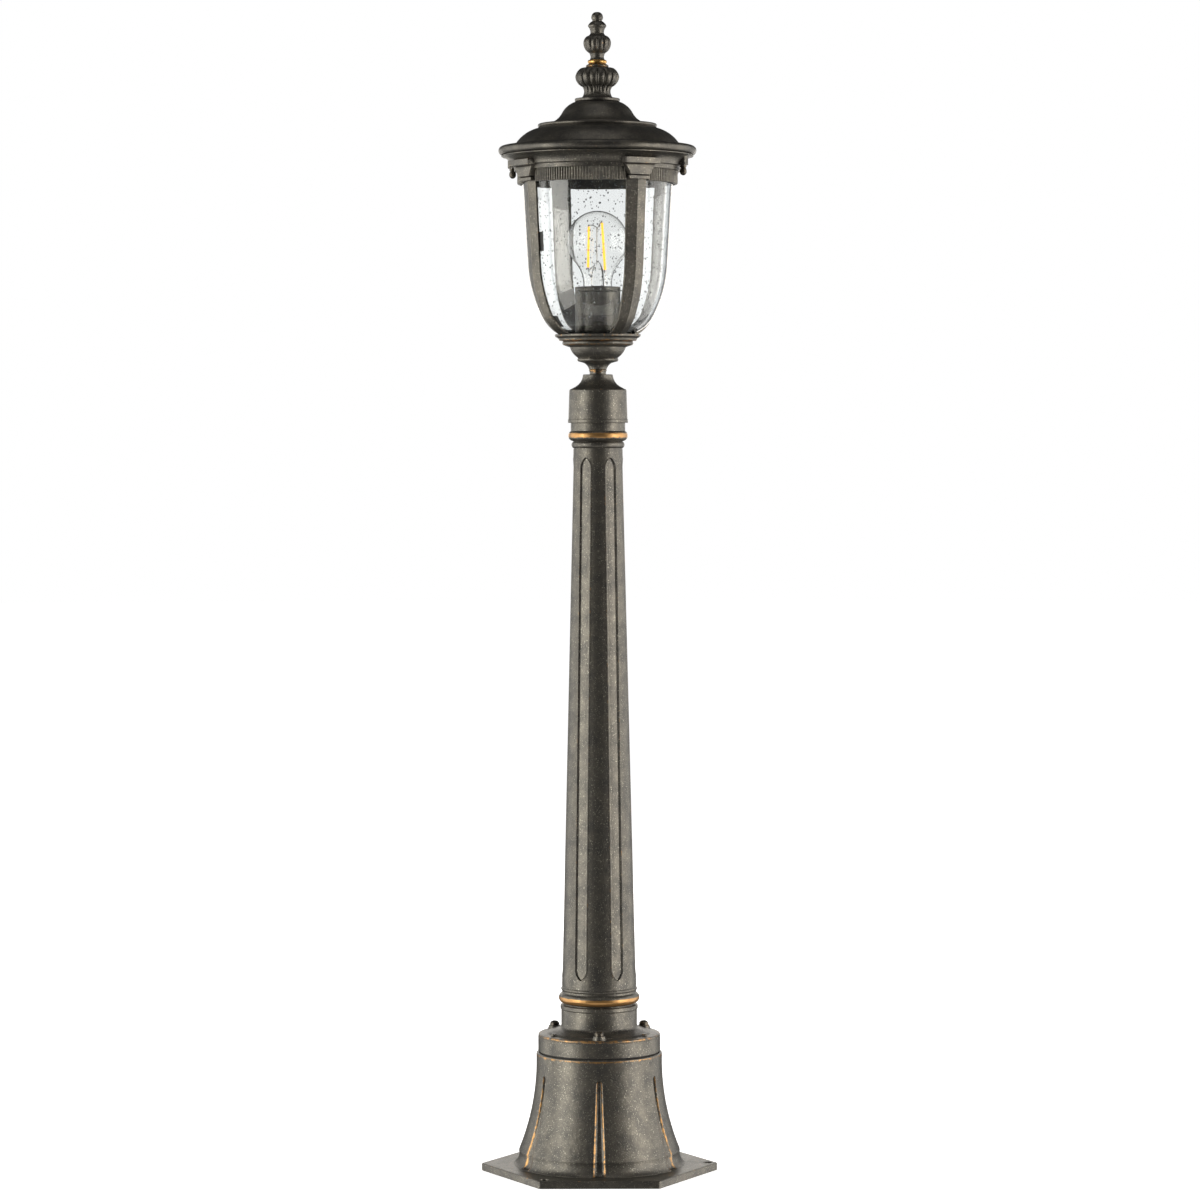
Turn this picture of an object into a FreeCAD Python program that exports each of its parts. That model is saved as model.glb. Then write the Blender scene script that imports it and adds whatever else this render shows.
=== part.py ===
import FreeCAD, Part
import math
import os
import types

import Sketcher

# A garden path lantern: a glass lantern head on a fluted cast post with a hexagonal foot.
# Frame: millimetres, +Z up, origin at the centre of the foot's underside, front towards -Y.
# Angles are polar, in degrees, from +X towards +Y, so the front is -90.

UP = FreeCAD.Vector(0, 0, 1)

MOUNT_ANGLES = (0, 120, 240)
FLANGE_SCREW_ANGLES = (-90, 30, 150)
FLANGE_NUB_ANGLES = (-30, 90, 210)
FLUTE_COUNT = 6
GROOVE_ANGLES = (30, 90, 150, 210, 270, 330)
REAR_SCREW_ANGLES = (60, 120)
RIB_ANGLES = {"rib_front_right": -60, "rib_back_right": 30, "rib_back_left": 120, "rib_front_left": 210}
LUG_ANGLES = {"roof_screw_right": -15, "roof_screw_left": 165}
RIB_BEVEL = 8
# Each filament's lower and upper end, from the centre of the bulb's globe.
FILAMENTS = (("left", (-9.1, -1.5, -24.7), (-8.2, -1, 14.3)), ("right", (7.0, 1.5, -27.0), (4.2, 1, 18.1)))
POLE_FLAT = 0.7

# The driving sizes: name, value, what it is.
SIZES = [
    ("plate_radius", 113.0, "foot plate, centre to corner"),
    ("plate_thick", 7.1, "foot plate thickness"),
    ("plate_corner", 3.5, "rounding of the plate's upright corners"),
    ("plate_edge", 1.2, "rounding of the plate's top edge"),
    ("mount_circle", 103.5, "radius of the circle of mounting holes"),
    ("mount_hole", 4.0, "radius of a mounting hole"),
    ("bell_top", 114.3, "height of the bell's top"),
    ("bell_radius", 60.0, "bell radius near its top"),
    ("bell_flare_start", 109.0, "height where the bell starts to flare"),
    ("bell_flare", 228.0, "radius of the flare's arc"),
    ("bell_foot_radius", 76.9, "bell radius where the flare ends"),
    ("bell_foot_height", 20.4, "height where the flare ends"),
    ("bell_toe", 82.0, "bell radius on the plate"),
    ("bell_wall", 5.0, "bell wall thickness"),
    ("bell_deck", 6.0, "thickness of the bell's top deck"),
    ("wire_hole", 20.0, "radius of the wire hole in the deck"),
    ("groove_depth", 2.4, "depth of the bell's tapered grooves"),
    ("groove_width", 9.4, "width of a groove at the plate"),
    ("groove_top", 94.7, "height of a groove's point"),
    ("gasket_thick", 1.2, "gasket between bell and collar"),
    ("flange_radius", 58.2, "collar flange radius"),
    ("flange_top", 132.1, "height of the collar flange's top"),
    ("flange_screw_circle", 49.4, "radius of the circle of flange screws"),
    ("screw_boss_radius", 6.9, "radius of a boss under a flange screw"),
    ("screw_boss_high", 4.0, "height of a boss above the flange"),
    ("nub_radius", 3.4, "radius of a casting nub between the bosses"),
    ("nub_high", 2.4, "height of a nub above the flange"),
    ("screw_head_radius", 4.4, "radius of a flange screw's head"),
    ("screw_head_high", 4.1, "height of a flange screw's head"),
    ("screw_shank", 2.0, "radius of an M4 shank"),
    ("screw_fit", 0.05, "clearance round a shank"),
    ("neck_radius", 36.1, "collar neck radius"),
    ("neck_top", 159.4, "height of the collar neck's top"),
    ("spigot_radius", 30.0, "shaft spigot radius"),
    ("spigot_low", 135.7, "height of the shaft spigot's end"),
    ("shaft_low_radius", 35.4, "shaft radius at its foot"),
    ("shaft_low", 178.9, "height of the shaft's foot"),
    ("shaft_high_radius", 23.4, "shaft radius at its top"),
    ("shaft_high", 687.8, "height of the shaft's top"),
    ("flute_low", 186.0, "height of a flute's lower point"),
    ("flute_high", 680.9, "height of a flute's upper point"),
    ("flute_tool", 13.0, "radius of the flute's scoop"),
    ("flute_depth", 1.5, "depth of a flute"),
    ("cap_low", 713.6, "height of the post cap's skirt"),
    ("cap_radius", 27.2, "post cap radius at its shoulder"),
    ("cap_shoulder", 745.6, "height of the cap's shoulder"),
    ("cap_top", 759.4, "height of the cap's top"),
    ("cap_spigot", 24.0, "shaft neck radius inside the cap"),
    ("pipe_radius", 5.0, "radius of the threaded pipe, M10"),
    ("pipe_bore", 3.5, "radius of the pipe's wireway"),
    ("pipe_low", 734.7, "height of the pipe's lower end"),
    ("pipe_high", 795.6, "height of the pipe's upper end"),
    ("nut_radius", 9.8, "lock nut, centre to corner"),
    ("nut_high", 6.0, "lock nut height"),
    ("washer_thick", 1.0, "lock washer thickness"),
    ("cup_low", 764.2, "height of the cup's underside"),
    ("cup_floor", 774.1, "height of the cup's inner floor"),
    ("cup_ledge", 793.4, "height of the ledge inside the cup"),
    ("cup_top", 797.3, "height of the cup's rim"),
    ("cup_radius", 40.85, "cup rim radius"),
    ("sleeve_radius", 21.6, "socket sleeve radius"),
    ("sleeve_low", 788.6, "height of the sleeve's lower end"),
    ("sleeve_top", 842.3, "height of the sleeve's top"),
    ("sleeve_wall", 1.0, "sleeve wall thickness"),
    ("holder_radius", 18.4, "lampholder radius"),
    ("shell_radius", 13.9, "radius of the lampholder's screw shell"),
    ("bulb_cap_radius", 13.0, "radius of the bulb's screw cap, E26"),
    ("bulb_cap_low", 807.5, "height of the cap's lower end"),
    ("bulb_cap_top", 833.9, "height of the cap's upper end"),
    ("globe_radius", 29.0, "bulb globe radius"),
    ("globe_centre", 885.2, "height of the bulb globe's centre"),
    ("globe_wall", 0.9, "bulb glass thickness"),
    ("shade_high_radius", 72.2, "glass shade radius at its top"),
    ("shade_high", 951.8, "height of the shade's top"),
    ("shade_low_radius", 67.0, "shade radius where its bottom starts to curve"),
    ("shade_low", 863.3, "height where the shade's bottom starts to curve"),
    ("shade_wall", 2.6, "shade thickness"),
    ("shade_hole", 26.6, "radius of the hole in the shade's bottom"),
    ("shade_hole_high", 796.0, "height of the shade's lowest face"),
    ("rib_thick", 3.0, "rib thickness"),
    ("rib_gap", 1.2, "gap between shade and rib"),
    ("rib_half", 10.64, "half of a rib's width at its top"),
    ("rib_half_low", 8.1, "half of a rib's width at its foot"),
    ("reed_radius", 76.0, "reeded strip radius"),
    ("reed_low", 939.0, "height of the reeded strips' lower edge"),
    ("crown_low", 951.2, "height of the crown ring's lower face"),
    ("crown_top", 966.2, "height of the crown ring's upper face"),
    ("crown_bore", 73.2, "crown ring bore"),
    ("crown_rim", 91.0, "crown ring radius at its top"),
    ("lug_circle", 83.6, "radius of the circle of roof screws"),
    ("lug_low", 955.7, "height of the lugs' underside"),
    ("roof_gap", 0.3, "gap between the crown and the resting roof"),
    ("roof_rim", 93.8, "roof rim radius"),
    ("roof_bead", 4.25, "half of the roof rim bead's height"),
    ("roof_step", 55.6, "radius of the step bead on the roof"),
    ("roof_top", 1016.4, "height of the roof's top"),
    ("roof_neck", 22.3, "roof radius at its top"),
    ("stud_radius", 4.0, "finial stud radius, M8"),
    ("finial_foot", 21.3, "radius of the finial's foot disc"),
    ("ball_radius", 21.1, "radius of the finial's large ball"),
    ("ball_centre", 1040.0, "height of the large ball's centre"),
    ("vase_radius", 13.3, "radius of the finial's vase"),
    ("vase_centre", 1072.9, "height of the vase's widest ring"),
    ("finial_top", 1101.5, "height of the finial's top"),
]


class Size:
    """A length: its value in millimetres, and the spreadsheet expression that gives it."""

    def __init__(self, value, text):
        self.value = value
        self.text = text

    def joined(self, sign, other, value):
        text = other.text if isinstance(other, Size) else format(other, ".6g")
        return Size(value, "(" + self.text + " " + sign + " " + text + ")")

    def __add__(self, other):
        return self.joined("+", other, self.value + number(other))

    def __sub__(self, other):
        return self.joined("-", other, self.value - number(other))

    def __mul__(self, other):
        return self.joined("*", other, self.value * number(other))

    def __truediv__(self, other):
        return self.joined("/", other, self.value / number(other))


def number(size):
    """The plain value of a Size or a number."""
    return size.value if isinstance(size, Size) else float(size)


def expression(size):
    """The expression text of a Size or a number."""
    return size.text if isinstance(size, Size) else format(size, ".6g")


doc = FreeCAD.newDocument("path_lantern")
sheet = doc.addObject("Spreadsheet::Sheet", "sizes")
for row, (alias, value, meaning) in enumerate(SIZES, start=1):
    sheet.set("A" + str(row), meaning)
    sheet.set("B" + str(row), str(value))
    sheet.setAlias("B" + str(row), alias)
doc.recompute()

S = types.SimpleNamespace(**{alias: Size(value, "sizes." + alias) for alias, value, meaning in SIZES})
nodes = []


# ---------------------------------------------------------------- drawing and solid helpers

def bind(thing, prop, size):
    """Set a property of an object from a size, through the sheet."""
    thing.setExpression(prop, expression(size))


def new_body(label):
    return doc.addObject("PartDesign::Body", label)


def new_sketch(body, name, plane, offset=None):
    """An empty sketch on one of the body's origin planes, moved along the plane's normal by offset."""
    sketch = body.newObject("Sketcher::SketchObject", name)
    origin_plane = next(item for item in body.Origin.OriginFeatures if item.Role == plane)
    sketch.AttachmentSupport = [(origin_plane, "")]
    sketch.MapMode = "FlatFace"
    if offset is not None:
        bind(sketch, "AttachmentOffset.Base.z", offset)
    return sketch


def arc_between(begin, end, radius):
    """The short arc from begin to end. A positive radius turns left, a negative one turns right."""
    chord = end - begin
    half = chord.Length / 2
    left = FreeCAD.Vector(-chord.y, chord.x, 0).normalize()
    rise = math.sqrt(max(radius * radius - half * half, 0))
    centre = begin + chord / 2 + left * (rise if radius > 0 else -rise)
    first, last = (begin, end) if radius > 0 else (end, begin)
    angles = [math.atan2(point.y - centre.y, point.x - centre.x) for point in (first, last)]
    return Part.ArcOfCircle(Part.Circle(centre, UP, abs(radius)), angles[0], angles[1])


def fix_point(sketch, curve, end, place):
    """Hold a curve's end at a place given by two sizes."""
    for kind, axis, size in (("DistanceX", -2, place[0]), ("DistanceY", -1, place[1])):
        if abs(number(size)) < 1e-6:
            sketch.addConstraint(Sketcher.Constraint("PointOnObject", curve, end, axis))
        else:
            index = sketch.addConstraint(Sketcher.Constraint(kind, -1, 1, curve, end, number(size)))
            bind(sketch, "Constraints[" + str(index) + "]", size)


def draw(sketch, corners):
    """A closed outline. A corner is (x, y), or (x, y, radius) where an arc leads to it.

    The curve that closes the outline leads to the first corner."""
    count = len(corners)
    points = [FreeCAD.Vector(number(corner[0]), number(corner[1]), 0) for corner in corners]
    ends = []
    for index, corner in enumerate(corners):
        before = (index - 1) % count
        if len(corner) == 3:
            radius = number(corner[2])
            curve = sketch.addGeometry(arc_between(points[before], points[index], radius))
            ends.append((curve, 1, 2) if radius > 0 else (curve, 2, 1))
        else:
            curve = sketch.addGeometry(Part.LineSegment(points[before], points[index]))
            ends.append((curve, 1, 2))
    for index, corner in enumerate(corners):
        curve, begin, end = ends[index]
        follower, follower_begin, follower_end = ends[(index + 1) % count]
        sketch.addConstraint(Sketcher.Constraint("Coincident", curve, end, follower, follower_begin))
        fix_point(sketch, curve, end, corner)
        if len(corner) == 3:
            held = sketch.addConstraint(Sketcher.Constraint("Radius", curve, abs(number(corner[2]))))
            bind(sketch, "Constraints[" + str(held) + "]", magnitude(corner[2]))
    return sketch


def magnitude(size):
    """A size without its sign."""
    if number(size) >= 0:
        return size
    return size * -1 if isinstance(size, Size) else -size


def turn_in(body, name, corners, kind="PartDesign::Revolution"):
    """Turn an outline about the body's Z axis. The outline gives radius and height."""
    sketch = draw(new_sketch(body, name + "_outline", "XZ_Plane"), corners)
    feature = body.newObject(kind, name)
    feature.Profile = sketch
    feature.ReferenceAxis = (sketch, ["V_Axis"])
    feature.Angle = 360
    return feature


def turned(label, corners):
    """A turned piece."""
    body = new_body(label)
    turn_in(body, label + "_turn", corners)
    return body


def keep(thing):
    """Count a finished piece as a node, whose name is its label."""
    nodes.append(thing)
    return thing


def place(thing, distance, angle, height=0, lean=None):
    """Put a piece at a distance from the axis, in a polar direction, turned to face outwards."""
    turn = FreeCAD.Rotation(UP, angle)
    if lean is not None:
        turn = turn.multiply(lean)
    thing.Placement = FreeCAD.Placement(FreeCAD.Vector(0, 0, 0), turn)
    radians = " * " + format(math.cos(math.radians(angle)), ".9g")
    bind(thing, "Placement.Base.x", Size(0, expression(distance) + radians))
    radians = " * " + format(math.sin(math.radians(angle)), ".9g")
    bind(thing, "Placement.Base.y", Size(0, expression(distance) + radians))
    bind(thing, "Placement.Base.z", height)
    return thing


def rod(name, radius, low, high):
    """A plain upright cylinder on the axis."""
    cylinder = doc.addObject("Part::Cylinder", name)
    bind(cylinder, "Radius", radius)
    bind(cylinder, "Height", high - low)
    bind(cylinder, "Placement.Base.z", low)
    return cylinder


def side_rod(name, radius, near, length, angle, height):
    """A cylinder that points outwards, from near the axis, in a polar direction."""
    cylinder = doc.addObject("Part::Cylinder", name)
    bind(cylinder, "Radius", radius)
    bind(cylinder, "Height", length)
    outwards = FreeCAD.Rotation(FreeCAD.Vector(0, 1, 0), 90)
    return place(cylinder, near, angle, height, outwards)


def block(name, sizes, corner):
    """A box with the given edge lengths and lowest corner."""
    box = doc.addObject("Part::Box", name)
    for prop, size in zip(("Length", "Width", "Height"), sizes):
        bind(box, prop, size)
    for axis, size in zip("xyz", corner):
        bind(box, "Placement.Base." + axis, size)
    return box


def joined(label, things):
    """The union of several objects."""
    union = doc.addObject("Part::MultiFuse", label)
    union.Shapes = things
    return union


def grouped(label, things):
    """Separate solids in one node."""
    group = doc.addObject("Part::Compound", label)
    group.Links = things
    return group


def cut(label, base, tool):
    """One object less another."""
    result = doc.addObject("Part::Cut", label)
    result.Base = base
    result.Tool = tool
    return result


def upright_holes(name, radius, distance, angles, low, high):
    """Upright drills on a circle."""
    drills = []
    for index, angle in enumerate(angles, start=1):
        drill = rod(name + "_" + str(index), radius, low, high)
        drills.append(place(drill, distance, angle, low))
    return joined(name, drills)


def pan_screw(name, shank, length, head, head_high):
    """A pan-head screw with a crossed recess. The head's underside is at height 0."""
    blank = turned(name + "_blank", [
        (0, length * -1), (shank, length * -1), (shank, 0), (head, 0), (head, head_high * 0.45),
        (head * 0.35, head_high, head * 0.8), (0, head_high)])
    slot = head * 0.26
    reach = head * 1.15
    bars = []
    for index, (long, wide) in enumerate(((reach, slot), (slot, reach))):
        bars.append(block(name + "_bar_" + str(index), (long, wide, head_high),
                          (long * -0.5, wide * -0.5, head_high * 0.45)))
    return cut(name, blank, joined(name + "_recess", bars))


def grub_screw(name, radius, length):
    """A headless screw with a hexagon socket in its outer end. It points up, from height 0."""
    rod_blank = doc.addObject("Part::Cylinder", name + "_blank")
    bind(rod_blank, "Radius", radius)
    bind(rod_blank, "Height", length)
    socket = doc.addObject("Part::Prism", name + "_socket")
    socket.Polygon = 6
    bind(socket, "Circumradius", radius * 0.55)
    bind(socket, "Height", length)
    bind(socket, "Placement.Base.z", length * 0.5)
    return cut(name, rod_blank, socket)


# ---------------------------------------------------------------- foot

def make_base_bell():
    """The hollow bell with its hexagonal plate, tapered grooves and holes, one casting."""
    body = new_body("base_bell_blank")
    plate = body.newObject("PartDesign::AdditivePrism", "foot_plate")
    plate.Polygon = 6
    bind(plate, "Circumradius", S.plate_radius)
    bind(plate, "Height", S.plate_thick)
    doc.recompute()
    upright = [index for index, edge in enumerate(plate.Shape.Edges, start=1)
               if abs(edge.BoundBox.ZLength - S.plate_thick.value) < 0.01]
    corners = body.newObject("PartDesign::Fillet", "plate_corners")
    corners.Base = (plate, ["Edge" + str(index) for index in upright])
    bind(corners, "Radius", S.plate_corner)
    doc.recompute()
    rim = [index for index, edge in enumerate(corners.Shape.Edges, start=1)
           if edge.BoundBox.ZMin > S.plate_thick.value - 0.01]
    edge_round = body.newObject("PartDesign::Fillet", "plate_edge")
    edge_round.Base = (corners, ["Edge" + str(index) for index in rim])
    bind(edge_round, "Radius", S.plate_edge)

    lip = S.bell_radius - 0.6
    turn_in(body, "bell", [
        (0, S.plate_thick - 1), (S.bell_toe, S.plate_thick - 1), (S.bell_toe, S.plate_thick),
        (S.bell_foot_radius, S.bell_foot_height, -13), (S.bell_radius, S.bell_flare_start, S.bell_flare * -1),
        (S.bell_radius, S.bell_top - 1.6), (lip - 0.6, S.bell_top, 1.6), (0, S.bell_top)])
    inner_toe = S.bell_toe - S.bell_wall
    inner_foot = S.bell_foot_radius - S.bell_wall
    inner_high = S.bell_radius - S.bell_wall
    deck = S.bell_top - S.bell_deck
    turn_in(body, "bell_cavity", [
        (0, -1), (inner_toe, -1), (inner_toe, 0), (inner_foot, S.bell_foot_height),
        (inner_high, deck - 5, (S.bell_flare + S.bell_wall) * -1), (inner_high - 5, deck, 5),
        (S.wire_hole, deck), (S.wire_hole, S.bell_top + 1), (0, S.bell_top + 1)], "PartDesign::Groove")

    wedge_body = new_body("groove_wedge")
    outline = new_sketch(wedge_body, "groove_outline", "YZ_Plane")
    half = S.groove_width * 0.5
    draw(outline, [(half * -1, S.plate_thick + 0.5), (half, S.plate_thick + 0.5), (0, S.groove_top)])
    wedge = wedge_body.newObject("PartDesign::Pad", "groove_pad")
    wedge.Profile = outline
    bind(wedge, "Length", S.plate_radius)
    wedges = []
    for index, angle in enumerate(GROOVE_ANGLES, start=1):
        copy = grouped("groove_wedge_" + str(index), [wedge_body])
        wedges.append(place(copy, 0, angle))
    core = turned("groove_core", [
        (0, 0), (S.bell_toe - S.groove_depth * 1.4, 0), (S.bell_toe - S.groove_depth * 1.4, S.plate_thick),
        (S.bell_foot_radius - S.groove_depth, S.bell_foot_height, -13),
        (S.bell_radius - S.groove_depth, S.bell_flare_start, (S.bell_flare + S.groove_depth) * -1),
        (S.bell_radius - S.groove_depth, S.bell_top + 1), (0, S.bell_top + 1)])
    grooves = cut("bell_grooves", joined("groove_wedges", wedges), core)
    grooved = cut("base_bell_grooved", body, grooves)

    mounts = upright_holes("mount_drills", S.mount_hole, S.mount_circle, MOUNT_ANGLES,
                           Size(-1, "-1"), S.plate_thick + 1)
    threads = upright_holes("deck_drills", S.screw_shank + S.screw_fit, S.flange_screw_circle,
                            FLANGE_SCREW_ANGLES, S.bell_top - 12, S.bell_top + 1)
    return keep(cut("base_bell", grooved, joined("base_drills", [mounts, threads])))


def make_collar():
    """The flanged collar on the bell, whose neck is the socket for the shaft."""
    low = S.bell_top + S.gasket_thick
    ring = turned("gasket_blank", [
        (S.wire_hole + 14, S.bell_top), (S.flange_radius - 1.6, S.bell_top), (S.flange_radius - 1.6, low),
        (S.wire_hole + 14, low)])
    holes = upright_holes("gasket_drills", S.screw_shank + 0.3, S.flange_screw_circle, FLANGE_SCREW_ANGLES,
                          S.bell_top - 1, low + 1)
    keep(cut("flange_gasket", ring, holes))
    lip = S.neck_radius + 0.8
    socket = S.spigot_radius + S.screw_fit
    floor = S.spigot_low - 0.2
    blank = turned("collar_blank", [
        (44, low), (S.flange_radius, low), (S.flange_radius, S.flange_top - 1.2),
        (S.flange_radius - 1.2, S.flange_top, 1.2), (50.2, S.flange_top + 0.5), (48.6, S.flange_top + 1.9),
        (S.neck_radius + 2.6, S.flange_top + 5), (S.neck_radius, S.flange_top + 8, -4.6),
        (S.neck_radius, S.neck_top - 4.2), (lip, S.neck_top - 3.6), (lip, S.neck_top - 0.6),
        (lip - 0.6, S.neck_top, 0.6), (socket, S.neck_top),
        (socket, floor), (15, floor), (15, low + 10), (44, low + 10)])
    raised = []
    sunk = 1
    for name, angles, foot, taper, high in (
            ("screw_boss", FLANGE_SCREW_ANGLES, S.screw_boss_radius, 1.7, S.screw_boss_high),
            ("flange_nub", FLANGE_NUB_ANGLES, S.nub_radius, 0.8, S.nub_high)):
        for index, angle in enumerate(angles, start=1):
            boss = doc.addObject("Part::Cone", name + "_" + str(index))
            bind(boss, "Radius1", foot)
            bind(boss, "Radius2", foot - taper)
            bind(boss, "Height", high + sunk)
            raised.append(place(boss, S.flange_screw_circle, angle, S.flange_top - sunk))
    solid = joined("collar_with_bosses", [blank] + raised)
    drills = [upright_holes("flange_drills", S.screw_shank + S.screw_fit, S.flange_screw_circle,
                            FLANGE_SCREW_ANGLES, low - 1, S.flange_top + S.screw_boss_high + 3)]
    neck_screw_height = S.neck_top - 10
    for index, angle in enumerate(REAR_SCREW_ANGLES, start=1):
        name = "neck_drill_" + str(index)
        drills.append(side_rod(name, 3.0, S.spigot_radius - 2, 12, angle, neck_screw_height))
    keep(cut("base_collar", solid, joined("collar_drills", drills)))

    screws = []
    seat = S.flange_top + S.screw_boss_high
    for index, angle in enumerate(FLANGE_SCREW_ANGLES, start=1):
        screw = pan_screw("flange_screw_" + str(index), S.screw_shank, seat - S.bell_top + 6.8,
                          S.screw_head_radius, S.screw_head_high)
        screws.append(place(screw, S.flange_screw_circle, angle, seat))
    keep(grouped("flange_screws", screws))

    grubs = []
    for index, angle in enumerate(REAR_SCREW_ANGLES, start=1):
        grub = grub_screw("neck_grub_" + str(index), Size(2.95, "2.95"), Size(5.2, "5.2"))
        outwards = FreeCAD.Rotation(FreeCAD.Vector(0, 1, 0), 90)
        grubs.append(place(grub, S.spigot_radius + 0.05, angle, neck_screw_height, outwards))
    keep(grouped("shaft_set_screws", grubs))


# ---------------------------------------------------------------- post

def make_shaft():
    """The hollow fluted shaft with its turned mouldings."""
    spigot = S.spigot_radius
    foot = S.shaft_low_radius
    top = S.shaft_high_radius
    blank = turned("shaft_blank", [
        (25, S.spigot_low), (spigot, S.spigot_low), (spigot, S.neck_top), (foot - 1.8, S.neck_top),
        (foot - 1.8, S.neck_top + 1.5), (foot - 0.6, S.neck_top + 2), (foot - 0.2, S.neck_top + 11.8, 5.2),
        (foot - 0.2, S.neck_top + 13.7), (foot - 0.2, S.neck_top + 17.1, 1.9), (foot, S.shaft_low),
        (top, S.shaft_high), (top - 0.2, S.shaft_high + 1.8), (top - 0.2, S.shaft_high + 8.1, 3.5),
        (top + 0.8, S.shaft_high + 8.6), (S.cap_spigot + 1.84, S.shaft_high + 18, 5.15),
        (S.cap_spigot + 1.84, S.cap_low), (S.cap_spigot, S.cap_low), (S.cap_spigot, S.cap_low + 25.2),
        (18.5, S.cap_low + 25.2), (18.5, S.shaft_high + 4), (29.5, S.shaft_low - 6), (25, S.neck_top + 3)])
    slope = math.atan2(foot.value - top.value, S.shaft_high.value - S.shaft_low.value)
    tool = S.flute_tool
    out = tool - S.flute_depth
    middle = (S.flute_low + S.flute_high) * 0.5
    mean_radius = (foot + top) * 0.5
    half = (S.flute_high - S.flute_low) * 0.5 - (tool * 2 * S.flute_depth).value ** 0.5
    flutes = []
    for index in range(FLUTE_COUNT):
        scoop = new_body("flute_" + str(index + 1))
        turn_in(scoop, "flute_scoop_" + str(index + 1), [
            (0, (half + tool) * -1), (tool, half * -1, tool), (tool, half), (0, half + tool, tool)])
        lean = FreeCAD.Rotation(FreeCAD.Vector(0, 1, 0), -math.degrees(slope))
        flutes.append(place(scoop, mean_radius + out, index * 360 / FLUTE_COUNT, middle, lean))
    keep(cut("post_shaft", blank, joined("flutes", flutes)))


def make_cap():
    """The post cap, its set screws, and the threaded pipe with its lower nut and washer."""
    bore = S.cap_spigot + 0.1
    land = S.cap_top - 9.7
    skirt = S.cap_radius + 0.9
    blank = turned("cap_blank", [
        (bore, S.cap_low), (skirt + 0.4, S.cap_low), (skirt + 0.4, S.cap_low + 3), (skirt, S.cap_low + 3.6),
        (S.cap_radius, S.cap_shoulder - 2), (S.cap_radius - 1.8, S.cap_shoulder, 1.8),
        (22, S.cap_shoulder + 1.9), (14.2, S.cap_top - 0.6, -14), (13.6, S.cap_top, 0.6),
        (S.pipe_radius + 0.1, S.cap_top),
        (S.pipe_radius + 0.1, land), (16, land), (16, S.cap_low + 25.5), (bore, S.cap_low + 25.5)])
    drills = []
    grubs = []
    screw_height = S.cap_low + 13
    for index, angle in enumerate(REAR_SCREW_ANGLES, start=1):
        name = "cap_drill_" + str(index)
        drills.append(side_rod(name, 2.5, S.cap_spigot - 1, 8, angle, screw_height))
        grub = grub_screw("cap_grub_" + str(index), Size(2.45, "2.45"), Size(3.6, "3.6"))
        outwards = FreeCAD.Rotation(FreeCAD.Vector(0, 1, 0), 90)
        grubs.append(place(grub, S.cap_spigot + 0.05, angle, screw_height, outwards))
    keep(cut("post_cap", blank, joined("cap_drills", drills)))
    keep(grouped("cap_set_screws", grubs))

    keep(turned("stem_pipe", [
        (S.pipe_bore, S.pipe_low), (S.pipe_radius - 0.5, S.pipe_low), (S.pipe_radius, S.pipe_low + 0.5),
        (S.pipe_radius, S.pipe_high - 0.5), (S.pipe_radius - 0.5, S.pipe_high), (S.pipe_bore, S.pipe_high)]))
    make_nut("lower", land - S.washer_thick - S.nut_high, land - S.washer_thick)


def make_nut(where, nut_low, washer_low):
    """A lock nut and its washer on the threaded pipe."""
    hexagon = doc.addObject("Part::Prism", where + "_nut_blank")
    hexagon.Polygon = 6
    bind(hexagon, "Circumradius", S.nut_radius)
    bind(hexagon, "Height", S.nut_high)
    bind(hexagon, "Placement.Base.z", nut_low)
    bore = rod(where + "_nut_bore", S.pipe_radius + S.screw_fit, nut_low - 1, nut_low + S.nut_high + 1)
    keep(cut("pipe_nut_" + where, hexagon, bore))
    outer = S.nut_radius + 1.6
    bore_radius = S.pipe_radius + 0.15
    keep(turned("pipe_washer_" + where, [
        (bore_radius, washer_low), (outer, washer_low), (outer, washer_low + S.washer_thick),
        (bore_radius, washer_low + S.washer_thick)]))


# ---------------------------------------------------------------- lantern cup and lampholder

def make_cup():
    """The neck ring and the cup that carries the lantern's ribs, shade and lampholder."""
    bore = S.pipe_radius + 0.1
    keep(turned("neck_ring", [
        (bore, S.cap_top), (7.8, S.cap_top), (7.8, S.cup_low - 2), (7.8, S.cup_low, 1.1), (bore, S.cup_low)]))
    rim = S.cup_radius
    keep(turned("bottom_cup", [
        (bore, S.cup_low), (8.4, S.cup_low), (13.2, S.cup_low + 6.1, -9), (18.6, S.cup_low + 7.6),
        (18.6, S.cup_low + 10.6, 1.7), (19.8, S.cup_low + 11.6), (26.6, S.cup_low + 21, 18),
        (32.6, S.cup_low + 23), (32.6, S.cup_low + 26.8, 2.2), (36.6, S.cup_low + 27.2),
        (37.6, S.cup_low + 29.4), (rim - 0.5, S.cup_top - 2.2), (rim, S.cup_top - 0.6),
        (rim - 0.6, S.cup_top, 0.6), (36.5, S.cup_top), (36.5, S.cup_ledge), (24.6, S.cup_ledge),
        (24.6, S.cup_ledge - 6),
        (20, S.cup_floor + 6), (16.5, S.cup_floor), (bore, S.cup_floor)]))
    make_nut("upper", S.cup_floor + S.washer_thick, S.cup_floor)
    keep(turned("shade_gasket", [
        (27.2, S.cup_ledge), (33.5, S.cup_ledge), (33.5, S.shade_hole_high), (27.2, S.shade_hole_high)]))


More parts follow.
